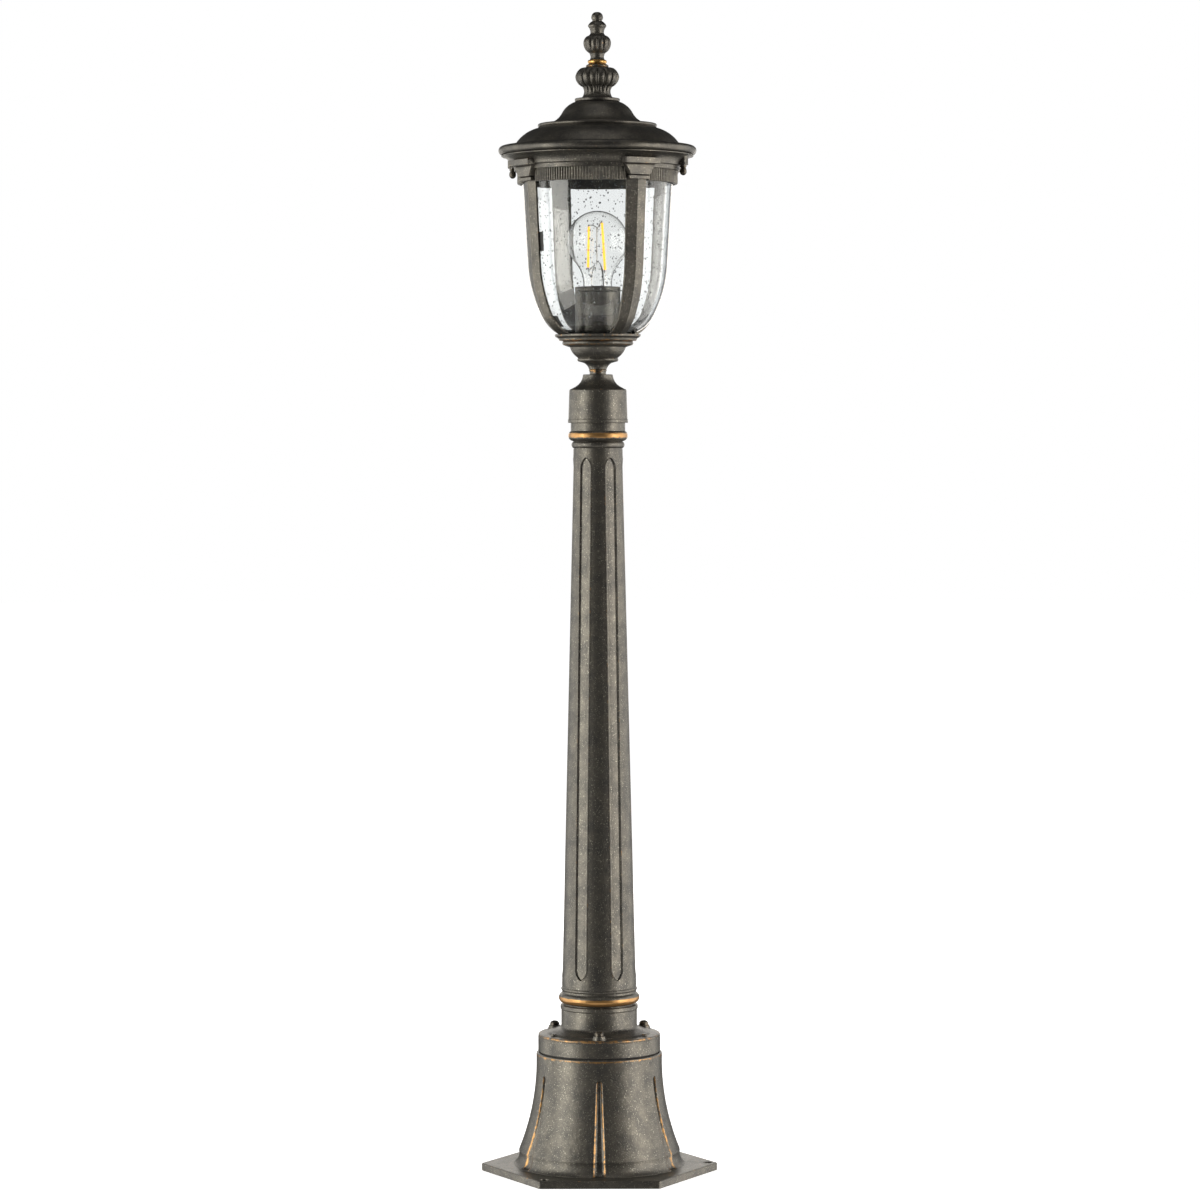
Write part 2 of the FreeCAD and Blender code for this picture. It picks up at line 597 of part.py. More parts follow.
def make_lampholder():
    """The lampholder: its mounting disc, outer sleeve, porcelain body, screw shell and centre contact."""
    inner = S.sleeve_radius - S.sleeve_wall
    disc_top = S.sleeve_low + 3
    keep(turned("holder_mount", [
        (S.pipe_radius + S.screw_fit, S.sleeve_low - 5), (8, S.sleeve_low - 5), (8, S.sleeve_low),
        (inner - 0.1, S.sleeve_low), (inner - 0.1, disc_top), (S.pipe_radius + S.screw_fit, disc_top)]))
    keep(turned("socket_sleeve", [
        (inner, S.sleeve_low), (S.sleeve_radius, S.sleeve_low), (S.sleeve_radius, S.sleeve_top - 1),
        (S.sleeve_radius - 1, S.sleeve_top, 1), (S.holder_radius + 0.4, S.sleeve_top),
        (S.holder_radius + 0.4, S.sleeve_top - 1.6), (inner, S.sleeve_top - 1.6)]))
    shell_outer = S.shell_radius
    floor = disc_top + 9
    keep(turned("lampholder", [
        (S.pipe_radius + 0.3, disc_top), (S.holder_radius, disc_top), (S.holder_radius, S.sleeve_top - 2.9),
        (S.holder_radius - 1, S.sleeve_top - 1.9, 1), (shell_outer + 0.1, S.sleeve_top - 1.9),
        (shell_outer + 0.1, floor), (3.6, floor), (3.6, disc_top + 5), (S.pipe_radius + 0.3, disc_top + 5)]))
    keep(turned("screw_shell", [
        (5, floor), (shell_outer, floor), (shell_outer, S.bulb_cap_top - 1),
        (shell_outer - 0.6, S.bulb_cap_top - 1), (shell_outer - 0.6, floor + 0.7), (5, floor + 0.7)]))
    keep(turned("centre_contact", [
        (0, disc_top + 5.2), (3.5, disc_top + 5.2), (3.5, floor + 1), (2.6, floor + 3.2), (0, floor + 3.2)]))


def make_bulb():
    """The bulb: screw cap, glass envelope, glass stem and two light filaments."""
    cap = S.bulb_cap_radius
    contact = S.bulb_cap_low - 3.2
    keep(turned("bulb_cap", [
        (0, contact), (3.6, contact), (4.4, contact + 1), (10.5, S.bulb_cap_low), (cap, S.bulb_cap_low + 2),
        (cap, S.bulb_cap_top), (cap - 0.6, S.bulb_cap_top), (cap - 0.6, S.bulb_cap_low + 3),
        (0, S.bulb_cap_low + 3)]))

    tilt = math.radians(38)
    wall = S.globe_wall

    def envelope_side(inset):
        """The envelope's outline from its neck up to its pole, moved inwards by inset."""
        globe = S.globe_radius - inset
        bend = inset + 30
        start = S.globe_centre - S.globe_radius * math.sin(tilt) - 22.3
        neck = 13.5 - number(inset)
        bend_end_radius = 43.5 - math.cos(tilt) * bend.value
        return [
            (neck, start), (bend_end_radius, start + bend * math.sin(tilt), bend * -1),
            (globe * math.cos(tilt), S.globe_centre - globe * math.sin(tilt)),
            (POLE_FLAT, S.globe_centre + globe - 0.01, globe), (0, S.globe_centre + globe - 0.01)], start

    outer, start = envelope_side(Size(0, "0"))
    inner, start = envelope_side(wall)
    neck_low = S.bulb_cap_top - 8
    mouth = cap.value - 0.8
    backwards = [
        (0, S.globe_centre + S.globe_radius - wall - 0.01),
        (POLE_FLAT, S.globe_centre + S.globe_radius - wall - 0.01),
        (inner[2][0], inner[2][1], (S.globe_radius - wall) * -1),
        (inner[1][0], inner[1][1]),
        (inner[0][0], inner[0][1], wall + 30)]
    keep(turned("bulb_envelope", [
        (mouth, neck_low), (mouth, S.bulb_cap_top), (13.5, S.bulb_cap_top + 2)] + outer + backwards + [
        (12.6, S.bulb_cap_top + 2.3), (mouth - 0.9, S.bulb_cap_top + 0.4), (mouth - 0.9, neck_low)]))

    keep(turned("bulb_stem", [
        (0, neck_low + 2), (10.4, neck_low + 2), (10.4, neck_low + 4), (5, neck_low + 12),
        (3.4, neck_low + 30), (2.2, neck_low + 38), (1, neck_low + 41), (1, neck_low + 76),
        (0, neck_low + 76)]))
    filaments = []
    centre = FreeCAD.Vector(0, 0, number(S.globe_centre))
    for name, foot, top in FILAMENTS:
        low = centre + FreeCAD.Vector(foot)
        high = centre + FreeCAD.Vector(top)
        strip = doc.addObject("Part::Cylinder", "filament_" + name)
        strip.Radius = 0.9
        strip.Height = (high - low).Length
        strip.Placement = FreeCAD.Placement(low, FreeCAD.Rotation(UP, high - low))
        filaments.append(strip)
    keep(grouped("bulb_filaments", filaments))


# ---------------------------------------------------------------- shade and cage

def make_shade():
    """The clear glass shade, open at the top, with a round hole in its bottom."""
    wall = S.shade_wall
    bend = 119
    turn = 39
    side = S.shade_low_radius
    knee = (side - 12.4, S.shade_low - 47)
    inner_bend = wall - bend
    inner_turn = wall - turn
    keep(turned("glass_shade", [
        (S.shade_hole, S.shade_hole_high), (39.3, S.shade_hole_high + 4.6, turn), (knee[0], knee[1], turn),
        (side, S.shade_low, bend), (S.shade_high_radius, S.shade_high),
        (S.shade_high_radius - wall, S.shade_high), (side - wall, S.shade_low),
        (knee[0] - 2.3, knee[1] + 1.2, inner_bend), (38, S.shade_hole_high + 6.9, inner_turn),
        (S.shade_hole, S.shade_hole_high + 2.6, inner_turn)]))


def make_ribs():
    """Four ribs that follow the shade, each with a stepped capital under the crown."""
    blank = new_body("rib_blank")
    gap = S.rib_gap
    inner_high = S.shade_high_radius + gap
    inner_low = S.shade_low_radius + gap
    knee = (S.shade_low_radius - 12.4 + gap * 0.9, S.shade_low - 47 - gap * 0.4)
    foot = (36.4, S.cup_top + 0.2, -40.3)
    thick = S.rib_thick
    side = new_sketch(blank, "rib_side", "XZ_Plane")
    draw(side, [
        foot, (foot[0] + 5.4, foot[1]), (knee[0] + thick * 0.88, knee[1] - thick * 0.47, 41),
        (inner_low + thick, S.shade_low, 123), (inner_high + thick + 0.6, S.crown_low),
        (inner_high, S.crown_low), (inner_low, S.shade_low), (knee[0], knee[1], -120)])
    bevel = math.radians(RIB_BEVEL)
    for name, across in (("left", 1), ("right", -1)):
        pad = blank.newObject("PartDesign::Pad", "rib_" + name)
        pad.Profile = side
        pad.UseCustomVector = True
        pad.Direction = FreeCAD.Vector(-math.sin(bevel), across * math.cos(bevel), 0)
        pad.AlongSketchNormal = False
        bind(pad, "Length", S.rib_half / math.cos(bevel))

    # The rib narrows towards its foot: slivers come off both edges.
    wide = S.rib_half + 4
    middle = (S.rib_half - 0.9, S.shade_low - 30)
    narrow = (S.rib_half_low, S.cup_top - 1)
    for name, hand in (("left", 1), ("right", -1)):
        sliver = new_sketch(blank, "rib_taper_" + name, "YZ_Plane")
        corners = [narrow, (wide, narrow[1]), (wide, S.reed_low), (S.rib_half, S.reed_low), middle]
        draw(sliver, [(corner[0] * hand, corner[1]) for corner in corners][::hand])
        pocket = blank.newObject("PartDesign::Pocket", "rib_trim_" + name)
        pocket.Profile = sliver
        pocket.Type = "ThroughAll"
        pocket.Reversed = True

    # The capital: a necking band, a block that widens upwards, and a cornice block.
    steps = (
        ("neck_band", S.reed_low + 0.9, 3.4, 10.9, 10.9, 78.6),
        ("capital", S.reed_low + 4.8, 9.9, 10.6, 16.2, 80.6),
        ("web", S.reed_low + 12, 5.0, 14.0, 14.0, 80.0),
        ("cornice", S.reed_low + 15.2, 5.7, 19.0, 19.0, 86.0))
    behind = S.reed_radius + 0.05
    for name, low, tall, half_low, half_high, reach in steps:
        outline = new_sketch(blank, "rib_" + name + "_outline", "YZ_Plane", behind)
        draw(outline, [(-half_low, low), (half_low, low), (half_high, low + tall), (-half_high, low + tall)])
        pad = blank.newObject("PartDesign::Pad", "rib_" + name)
        pad.Profile = outline
        bind(pad, "Length", Size(reach, str(reach)) - behind)
    tie_outline = new_sketch(blank, "rib_tie_outline", "YZ_Plane", inner_high + 0.6)
    draw(tie_outline, [(-9, S.reed_low), (9, S.reed_low), (9, S.reed_low + 20), (-9, S.reed_low + 20)])
    tie = blank.newObject("PartDesign::Pad", "rib_tie")
    tie.Profile = tie_outline
    tie.Length = 4.2
    return blank


def crown_outline(slack):
    """The crown ring's outline: fascia below, cove above."""
    fascia = S.reed_radius + 2.8 + slack
    return [
        (S.crown_bore, S.crown_low), (fascia, S.crown_low), (fascia, S.crown_low + 3.9),
        (fascia + 1.9, S.crown_low + 4.6), (S.crown_rim - 0.8, S.crown_top - 1.2, -12),
        (S.crown_rim, S.crown_top), (S.crown_bore, S.crown_top)]


def make_crown(rib_blank):
    """The crown ring with its two lugs, the ribs and reeded strips under it, and the rib screws."""
    ring = turned("crown_blank", crown_outline(0))
    shank = S.screw_shank + S.screw_fit
    rib_screw_height = S.crown_low + 5.4
    lugs = []
    drills = []
    for index, angle in enumerate(LUG_ANGLES.values(), start=1):
        lug = new_body("lug_" + str(index))
        plan = new_sketch(lug, "lug_plan_" + str(index), "XY_Plane")
        draw(plan, [(-4.5, -5.5), (1.2, -5.5), (1.2, 5.5, 6.0), (-4.5, 5.5)])
        pad = lug.newObject("PartDesign::Pad", "lug_pad_" + str(index))
        pad.Profile = plan
        bind(pad, "Length", S.crown_top - S.lug_low)
        lugs.append(place(lug, S.lug_circle, angle, S.lug_low))
        drill = rod("lug_drill_" + str(index), shank, S.crown_low, S.crown_top + 1)
        drills.append(place(drill, S.lug_circle, angle, S.crown_low))
    tie_holes = []
    for index, angle in enumerate(RIB_ANGLES.values(), start=1):
        tie_holes.append(side_rod("rib_drill_high_" + str(index), shank, S.crown_bore - 2, 16, angle,
                                  rib_screw_height))
    crown = joined("crown_with_lugs", [ring] + lugs)
    keep(cut("crown_ring", crown, joined("crown_drills", drills + tie_holes)))

    envelope = turned("crown_envelope", crown_outline(0.02))
    slots = []
    for name, angle in RIB_ANGLES.items():
        trimmed = cut(name + "_trimmed", rib_blank, envelope)
        high_hole = side_rod(name + "_hole_high", shank, S.crown_bore - 2, 10.4, 0, rib_screw_height)
        rib = cut(name, trimmed, high_hole)
        keep(place(rib, 0, angle))
        slot = block(name + "_slot", (12, S.rib_half * 2 + 1.2, 20),
                     (S.reed_radius - 8, S.rib_half * -1 - 0.6, S.reed_low - 2))
        turn = grouped(name + "_slot_turned", [slot])
        slots.append(place(turn, 0, angle))
    strip = turned("reed_blank", [
        (S.reed_radius - 2.9, S.reed_low), (S.reed_radius, S.reed_low), (S.reed_radius, S.crown_low),
        (S.reed_radius - 2.9, S.crown_low)])
    keep(cut("reeded_strips", strip, joined("reed_slots", slots)))

    screws = []
    for index, angle in enumerate(RIB_ANGLES.values(), start=1):
        screw = pan_screw("rib_screw_" + str(index), S.screw_shank, Size(8, "8"), Size(3.4, "3.4"),
                          Size(1.4, "1.4"))
        inwards = FreeCAD.Rotation(FreeCAD.Vector(0, 1, 0), -90)
        screws.append(place(screw, S.crown_bore - 0.12, angle, rib_screw_height, inwards))
    keep(grouped("rib_screws", screws))


def make_pads():
    """Two rubber pads behind the front left rib, one high and one low, which steady the glass."""
    middle = RIB_ANGLES["rib_front_left"] + 2
    slope = (S.shade_high_radius - S.shade_low_radius).value / (S.shade_high - S.shade_low).value
    low = S.shade_low + 11
    high = S.shade_low + 29
    near = S.shade_low_radius + 0.06 + 11 * slope
    far = S.shade_low_radius + 0.06 + 29 * slope
    upper = [(near, low), (near + 0.4, low), (far + 0.4, high), (far, high)]
    centre = (S.shade_low_radius - 47.15, S.shade_low - 29.3)
    begin = math.radians(50)
    end = math.radians(31)

    def on_turn(radius, angle):
        return centre[0] + radius * math.cos(angle), centre[1] - radius * math.sin(angle)

    lower = [
        on_turn(39.15, begin), on_turn(39.5, begin), on_turn(39.5, end) + (39.5,), on_turn(39.15, end)]
    lower[0] = lower[0] + (-39.15,)
    pads = []
    for height, outline, spread in (("high", upper, 20), ("low", lower, 26)):
        pad = new_body("pad_" + height)
        turn = turn_in(pad, "pad_turn_" + height, outline)
        turn.Angle = spread
        turn.Midplane = True
        pads.append(place(pad, 0, middle))
    keep(grouped("glass_pads", pads))


# ---------------------------------------------------------------- roof and finial

def make_roof():
    """The two-tier roof, with blind holes for the two roof screws."""
    low = S.crown_top + S.roof_gap
    bead_top = low + S.roof_bead * 2
    step = S.roof_step
    neck = S.roof_neck
    shell = turned("roof_blank", [
        (79, low), (S.roof_rim - S.roof_bead, low), (S.roof_rim - S.roof_bead, bead_top, S.roof_bead + 0.001),
        (80.5, bead_top + 0.4), (77.6, bead_top + 2.2, -3.2), (step + 1.8, bead_top + 16.6, 34),
        (step, bead_top + 17.8), (step, bead_top + 20.9, 1.9), (step - 5.6, bead_top + 21.1),
        (neck + 11.2, bead_top + 31.4, -19), (neck, S.roof_top, 22), (S.stud_radius + 0.3, S.roof_top),
        (S.stud_radius + 0.3, S.roof_top - 5), (neck - 4, S.roof_top - 5), (neck + 6, bead_top + 31),
        (step - 8, bead_top + 17.8), (step - 2.5, bead_top + 15.6), (73, bead_top + 1.5),
        (76, bead_top - 2.5), (79, bead_top - 4)])
    drills = upright_holes("roof_drills", S.screw_shank + 0.35, S.lug_circle, LUG_ANGLES.values(),
                           low - 1, low + 5.6)
    keep(cut("roof", shell, drills))


def make_finial():
    """The finial: its stud, nut and washer in the roof, and three turned castings on the stud."""
    inside = S.roof_top - 5
    keep(turned("finial_stud", [
        (0, inside - 9), (S.stud_radius, inside - 9), (S.stud_radius, S.roof_top + 36),
        (S.stud_radius - 0.8, S.roof_top + 37), (0, S.roof_top + 37)]))
    nut = doc.addObject("Part::Prism", "stud_nut_blank")
    nut.Polygon = 6
    nut.Circumradius = 7.5
    nut.Height = 6.5
    bind(nut, "Placement.Base.z", inside - 7.7)
    keep(cut("stud_nut", nut, rod("stud_nut_bore", S.stud_radius + S.screw_fit, inside - 9, inside)))
    washer = S.stud_radius + 0.2
    keep(turned("stud_washer", [
        (washer, inside - 1.2), (8.5, inside - 1.2), (8.5, inside), (washer, inside)]))

    bore = S.stud_radius + S.screw_fit
    foot = S.roof_top + 0.4
    disc = S.finial_foot
    ball = S.ball_radius
    keep(turned("finial_ball", [
        (bore, foot), (disc - 1.2, foot), (disc, foot + 1.2, 1.2), (disc, foot + 2.4),
        (disc - 0.8, foot + 3.2, 0.8), (14.6, foot + 4.2), (12.8, foot + 8, -7),
        (14.4, S.ball_centre - 8.8, -8), (ball, S.ball_centre, 11.6), (15.4, S.ball_centre + 8.6, 11.6),
        (10.2, S.ball_centre + 9.3),
        (10.2, S.ball_centre + 11.4, 1.3), (8.4, S.ball_centre + 12.6), (bore, S.ball_centre + 12.6)]))
    ring_low = S.ball_centre + 12.7
    keep(turned("finial_ring", [
        (bore, ring_low), (8.1, ring_low), (8.1, ring_low + 3.6, 2.2), (bore, ring_low + 3.6)]))
    tip_low = ring_low + 3.7
    vase = S.vase_radius
    keep(turned("finial_tip", [
        (0, tip_low + 1), (0, tip_low), (7.2, tip_low), (6.8, tip_low + 4.6, -4.5), (8.2, tip_low + 6.8, -3),
        (vase, S.vase_centre, 10.5), (9.2, S.vase_centre + 6, 7.5), (6.4, S.vase_centre + 8.6, -4),
        (8.4, S.vase_centre + 14.5, -8), (8.0, S.vase_centre + 17, 2), (4.6, S.vase_centre + 20, 8),
        (4.6, S.vase_centre + 20.9), (5.4, S.finial_top - 4.1, 3.6),
        (POLE_FLAT, S.finial_top, 4.6), (0, S.finial_top)]))


def make_roof_screws():
    """Two thumbscrews under the crown's lugs: cast knobs on steel shanks that reach into the roof."""
    knob_top = -0.3
    spigot = 1.2
    spigot_low = -4.5
    bore = S.screw_fit + spigot
    reach = S.crown_top + 5.4 - S.lug_low
    for name, angle in LUG_ANGLES.items():
        knob = turned(name, [
            (0, -9.6), (POLE_FLAT, -9.6), (3.3, -6.2, 3.6), (2.2, -2.2, 8), (3.1, -1.9), (3.1, knob_top),
            (bore, knob_top), (bore, spigot_low), (0, spigot_low)])
        keep(place(knob, S.lug_circle, angle, S.lug_low))
        shank = turned(name + "_shank", [
            (0, spigot_low + 0.05), (spigot, spigot_low + 0.05), (spigot, knob_top + 0.05),
            (S.screw_shank, knob_top + 0.05), (S.screw_shank, reach - 0.8), (1.2, reach), (0, reach)])
        keep(place(shank, S.lug_circle, angle, S.lug_low))


def check(objects):
    """Stop if any object failed or any node has no valid solid."""
    for thing in doc.Objects:
        if "Invalid" in thing.State or "Error" in thing.State:
            raise RuntimeError(thing.Label + " is " + ", ".join(thing.State))
    for thing in objects:
        shape = thing.Shape
        if shape.isNull() or not shape.isValid() or not shape.Solids:
            raise RuntimeError(thing.Label + " has no valid solid")


make_base_bell()
make_collar()
make_shaft()
make_cap()
make_cup()
make_lampholder()
make_bulb()
make_shade()
make_crown(make_ribs())
make_pads()
make_roof()
make_finial()
make_roof_screws()
doc.recompute()
check(nodes)

os.makedirs("parts", exist_ok=True)
for node in nodes:
    node.Shape.exportStep("parts/" + node.Label + ".step")
    print(node.Label, len(node.Shape.Solids), round(node.Shape.Volume))
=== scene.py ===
import math
import random

import bmesh
import bpy
from mathutils import Matrix, Quaternion, Vector
from mathutils.geometry import tessellate_polygon


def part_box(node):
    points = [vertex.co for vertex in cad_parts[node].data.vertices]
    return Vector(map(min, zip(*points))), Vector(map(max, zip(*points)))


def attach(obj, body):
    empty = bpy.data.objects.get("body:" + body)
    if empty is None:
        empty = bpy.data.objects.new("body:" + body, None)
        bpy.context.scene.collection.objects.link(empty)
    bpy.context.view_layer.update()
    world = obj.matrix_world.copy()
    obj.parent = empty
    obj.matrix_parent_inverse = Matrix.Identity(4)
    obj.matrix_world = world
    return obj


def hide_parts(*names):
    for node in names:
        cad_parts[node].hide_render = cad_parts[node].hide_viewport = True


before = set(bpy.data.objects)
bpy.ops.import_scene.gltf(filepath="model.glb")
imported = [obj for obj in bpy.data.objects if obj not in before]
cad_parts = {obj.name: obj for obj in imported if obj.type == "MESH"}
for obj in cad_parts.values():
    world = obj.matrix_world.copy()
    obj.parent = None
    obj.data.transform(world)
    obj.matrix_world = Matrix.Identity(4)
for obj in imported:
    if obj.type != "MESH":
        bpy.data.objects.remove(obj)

# A garden path lantern. Outlines are in millimetres, as radius and height; meshes are in metres.
# Angles are polar, in degrees, from +X towards +Y, so the front is -90.

MM = 0.001
ARC_TURN = math.radians(8)
ARC_STEP = 2.5
SHARP = math.radians(38)
SOFTENED_TURN = 0.35
ON_AXIS = 0.01
FLUTE_ANGLES = [60 * n for n in range(6)]
GROOVE_ANGLES = [30 + 60 * n for n in range(6)]
MOUNT_ANGLES = (0, 120, 240)
FLANGE_SCREW_ANGLES = (-90, 30, 150)
FLANGE_NUB_ANGLES = (-30, 90, 210)
REAR_SCREW_ANGLES = (60, 120)
RIB_ANGLES = {"rib_front_right": -60, "rib_back_right": 30, "rib_back_left": 120, "rib_front_left": 210}
LUG_ANGLES = {"roof_screw_right": -15, "roof_screw_left": 165}
LUG_CIRCLE = 83.6
FLANGE_CIRCLE = 49.4
BOLT_CIRCLE = 103.5

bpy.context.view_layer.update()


def low_of(node):
    """The height of a CAD node's underside, in millimetres."""
    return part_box(node)[0].z / MM


def high_of(node):
    """The height of a CAD node's top, in millimetres."""
    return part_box(node)[1].z / MM


def span_of(node):
    """The heights of a CAD node's underside and top, in millimetres."""
    return low_of(node), high_of(node)


def ease(value):
    """A smooth step from 0 to 1."""
    value = min(max(value, 0), 1)
    return value * value * (3 - 2 * value)


def mixed(first, second, share):
    """The value that lies share of the way from first to second."""
    return first + (second - first) * share


# -------- materials

class Shader:
    """A material's node tree, with short calls for the nodes that the finishes share."""

    def __init__(self, name):
        self.material = bpy.data.materials.new(name)
        self.material.use_nodes = True
        self.tree = self.material.node_tree
        self.surface = self.tree.nodes["Principled BSDF"]
        self.place = self.add("ShaderNodeTexCoord").outputs["Object"]

    def add(self, kind, **sockets):
        """A node, with its input sockets set to values or linked from other sockets."""
        node = self.tree.nodes.new(kind)
        for name, value in sockets.items():
            self.join(node.inputs[name.replace("_", " ")], value)
        return node

    def join(self, socket, value):
        if isinstance(value, bpy.types.NodeSocket):
            self.tree.links.new(value, socket)
        else:
            socket.default_value = value

    def noise(self, size, detail, rough):
        """Noise whose patches are about size millimetres across."""
        node = self.add("ShaderNodeTexNoise", Vector=self.place, Scale=1 / (size * MM), Detail=detail,
                        Roughness=rough)
        return node.outputs["Fac"]

    def remap(self, value, low, high, to_low=0.0, to_high=1.0):
        node = self.add("ShaderNodeMapRange")
        for index, item in enumerate((value, low, high, to_low, to_high)):
            self.join(node.inputs[index], item)
        return node.outputs[0]

    def maths(self, kind, first, second):
        node = self.add("ShaderNodeMath")
        node.operation = kind
        self.join(node.inputs[0], first)
        self.join(node.inputs[1], second)
        return node.outputs[0]

    def blend(self, share, first, second):
        """A colour between two colours."""
        node = self.add("ShaderNodeMix")
        node.data_type = "RGBA"
        self.join(node.inputs["Factor"], share)
        for socket, value in ((node.inputs[6], first), (node.inputs[7], second)):
            self.join(socket, (*value, 1) if isinstance(value, tuple) else value)
        return node.outputs[2]

    def bump(self, height, depth, strength, under=None):
        """A bump whose height map is depth millimetres deep."""
        node = self.add("ShaderNodeBump", Strength=strength, Distance=depth * MM, Height=height)
        if under is not None:
            self.join(node.inputs["Normal"], under)
        return node.outputs[0]

    def finish(self, **sockets):
        for name, value in sockets.items():
            self.join(self.surface.inputs[name.replace("_", " ")],
                      (*value, 1) if isinstance(value, tuple) and len(value) == 3 else value)
        return self.material


def bronze_finish(name, light, dark, gold_and_highlight_strength, flecks):
    """Dark bronze paint on sand-cast metal, speckled, with gold brushed onto its edges; on the collar's
    flange rim part of that gold is a painted highlight, stronger towards the front.
    """
    shader = Shader(name)
    mottle = shader.noise(14, 4.0, 0.6)
    grain = shader.noise(2.2, 3.0, 0.6)
    fleck = shader.noise(1.1, 2.0, 0.5)
    paint = shader.blend(shader.remap(mottle, 0.32, 0.68), dark, light)
    paint = shader.blend(shader.remap(grain, 0.35, 0.7, 0.0, 0.55), paint, dark)
    paint = shader.blend(shader.remap(fleck, 0.61, 0.72, 0.0, flecks), paint, (0.42, 0.4, 0.33))
    rubbed_and_highlight = shader.add("ShaderNodeAttribute")
    rubbed_and_highlight.attribute_name = "gold"
    patchy = shader.maths("ADD", shader.maths("MULTIPLY", shader.noise(5.0, 4.0, 0.65), 1.5), -0.75)
    worn_and_highlight = shader.remap(shader.maths("ADD", rubbed_and_highlight.outputs["Fac"], patchy), 0.42, 0.72)
    patchy_weak = shader.maths("MULTIPLY", worn_and_highlight, gold_and_highlight_strength)
    colour = shader.blend(patchy_weak, paint, (0.47, 0.255, 0.09))
    rough = shader.remap(mottle, 0.3, 0.7, 0.42, 0.37)
    rough = shader.maths("SUBTRACT", rough, shader.maths("MULTIPLY", worn_and_highlight, 0.08))
    cast = shader.bump(grain, 0.35, 0.5)
    cast = shader.bump(fleck, 0.12, 0.6, cast)
    return shader.finish(Base_Color=colour, Metallic=0.82, Roughness=rough, Normal=cast,
                         Specular_IOR_Level=0.5)


def plain_finish(name, light, dark, rough_low, rough_high, patch, grain, depth, bright=0.3, **sockets):
    """A stuff in soft patches of two colours, patch millimetres across, with a fine grain."""
    shader = Shader(name)
    cloud = shader.noise(patch, 4.0, 0.6)
    fine = shader.noise(grain, 2.0, 0.5)
    colour = shader.blend(shader.remap(cloud, bright, 0.7), light, dark)
    rough = shader.remap(cloud, 0.3, 0.7, rough_low, rough_high)
    return shader.finish(Base_Color=colour, Roughness=rough, Normal=shader.bump(fine, depth, 0.5), **sockets)


def metal_finish(name, light, dark, rough_low, rough_high, size=3.0, depth=0.05):
    """A bare or plated metal with a little tarnish."""
    return plain_finish(name, light, dark, rough_low, rough_high, size * 3, size * 0.3, depth, 0.35,
                        Metallic=1.0)


def glass_finish(name, tint, index, waviness):
    """Clear glass with a faintly wavy surface."""
    shader = Shader(name)
    tone = shader.blend(shader.noise(20, 2.0, 0.5), tint, tuple(min(part * 1.02, 1) for part in tint))
    wave = shader.bump(shader.noise(16, 2.0, 0.45), waviness, 0.6)
    return shader.finish(Base_Color=tone, Transmission_Weight=1.0, Roughness=0.0, IOR=index, Normal=wave)


def dull_finish(name, light, dark, rough_low, rough_high, size, depth, coat=0.0):
    """Rubber, porcelain or another dull stuff."""
    return plain_finish(name, light, dark, rough_low, rough_high, size, size * 0.08, depth,
                        Coat_Weight=coat, Coat_Roughness=0.08)


def glow_finish(name, colour, strength):
    """A light filament's glowing coat, brighter between its grains."""
    shader = Shader(name)
    grain = shader.noise(0.8, 2.0, 0.5)
    hot = shader.blend(shader.remap(grain, 0.35, 0.65), colour, tuple(part * 0.8 for part in colour))
    return shader.finish(Base_Color=hot, Roughness=0.5, Emission_Color=hot, Emission_Strength=strength,
                         Normal=shader.bump(grain, 0.08, 0.4))


finishes = {
    "bronze_paint": bronze_finish("bronze_paint", (0.15, 0.138, 0.115), (0.072, 0.069, 0.064), 0.9, 0.85),
    "bronze_smooth": bronze_finish("bronze_smooth", (0.13, 0.12, 0.1), (0.06, 0.057, 0.053), 0.9, 0.3),
    "gold_ring": metal_finish("gold_ring", (0.78, 0.47, 0.15), (0.3, 0.17, 0.06), 0.24, 0.42, 2.0, 0.1),
    "clear_glass": glass_finish("clear_glass", (0.955, 0.97, 0.97), 1.45, 0.12),
    "seeds": dull_finish("seeds", (0.26, 0.27, 0.27), (0.18, 0.19, 0.19), 0.1, 0.25, 3.0, 0.01),
    "bulb_glass": glass_finish("bulb_glass", (0.975, 0.975, 0.97), 1.25, 0.02),
    "rubber": dull_finish("rubber", (0.02, 0.02, 0.021), (0.035, 0.034, 0.033), 0.5, 0.7, 4.0, 0.1),
    "zinc_steel": metal_finish("zinc_steel", (0.6, 0.6, 0.6), (0.38, 0.37, 0.35), 0.25, 0.45),
    "black_steel": metal_finish("black_steel", (0.06, 0.055, 0.05), (0.16, 0.14, 0.11), 0.28, 0.45, 2.0),
    "porcelain": dull_finish("porcelain", (0.8, 0.77, 0.7), (0.7, 0.66, 0.58), 0.15, 0.3, 8.0, 0.05, 0.6),
    "brass": metal_finish("brass", (0.72, 0.5, 0.2), (0.45, 0.3, 0.12), 0.25, 0.4),
    "bulb_cap": metal_finish("bulb_cap", (0.72, 0.71, 0.7), (0.45, 0.43, 0.4), 0.2, 0.4),
    "filament": glow_finish("filament", (1.0, 0.52, 0.045), 1.35),
}


# -------- mesh helpers

def arc_points(begin, end, radius):
    """Points on the short arc from begin to end, without begin. A positive radius turns left."""
    chord = end - begin
    half = chord.length / 2
    left = Vector((-chord.y, chord.x)).normalized()
    rise = math.sqrt(max(radius * radius - half * half, 0))
    centre = begin + chord / 2 + left * math.copysign(rise, radius)
    turn = math.copysign(2 * math.asin(min(half / abs(radius), 1)), radius)
    steps = max(2, math.ceil(max(abs(turn) / ARC_TURN, abs(turn * radius) / ARC_STEP)))
    spoke = begin - centre
    return [centre + Matrix.Rotation(turn * step / steps, 2) @ spoke for step in range(1, steps + 1)]


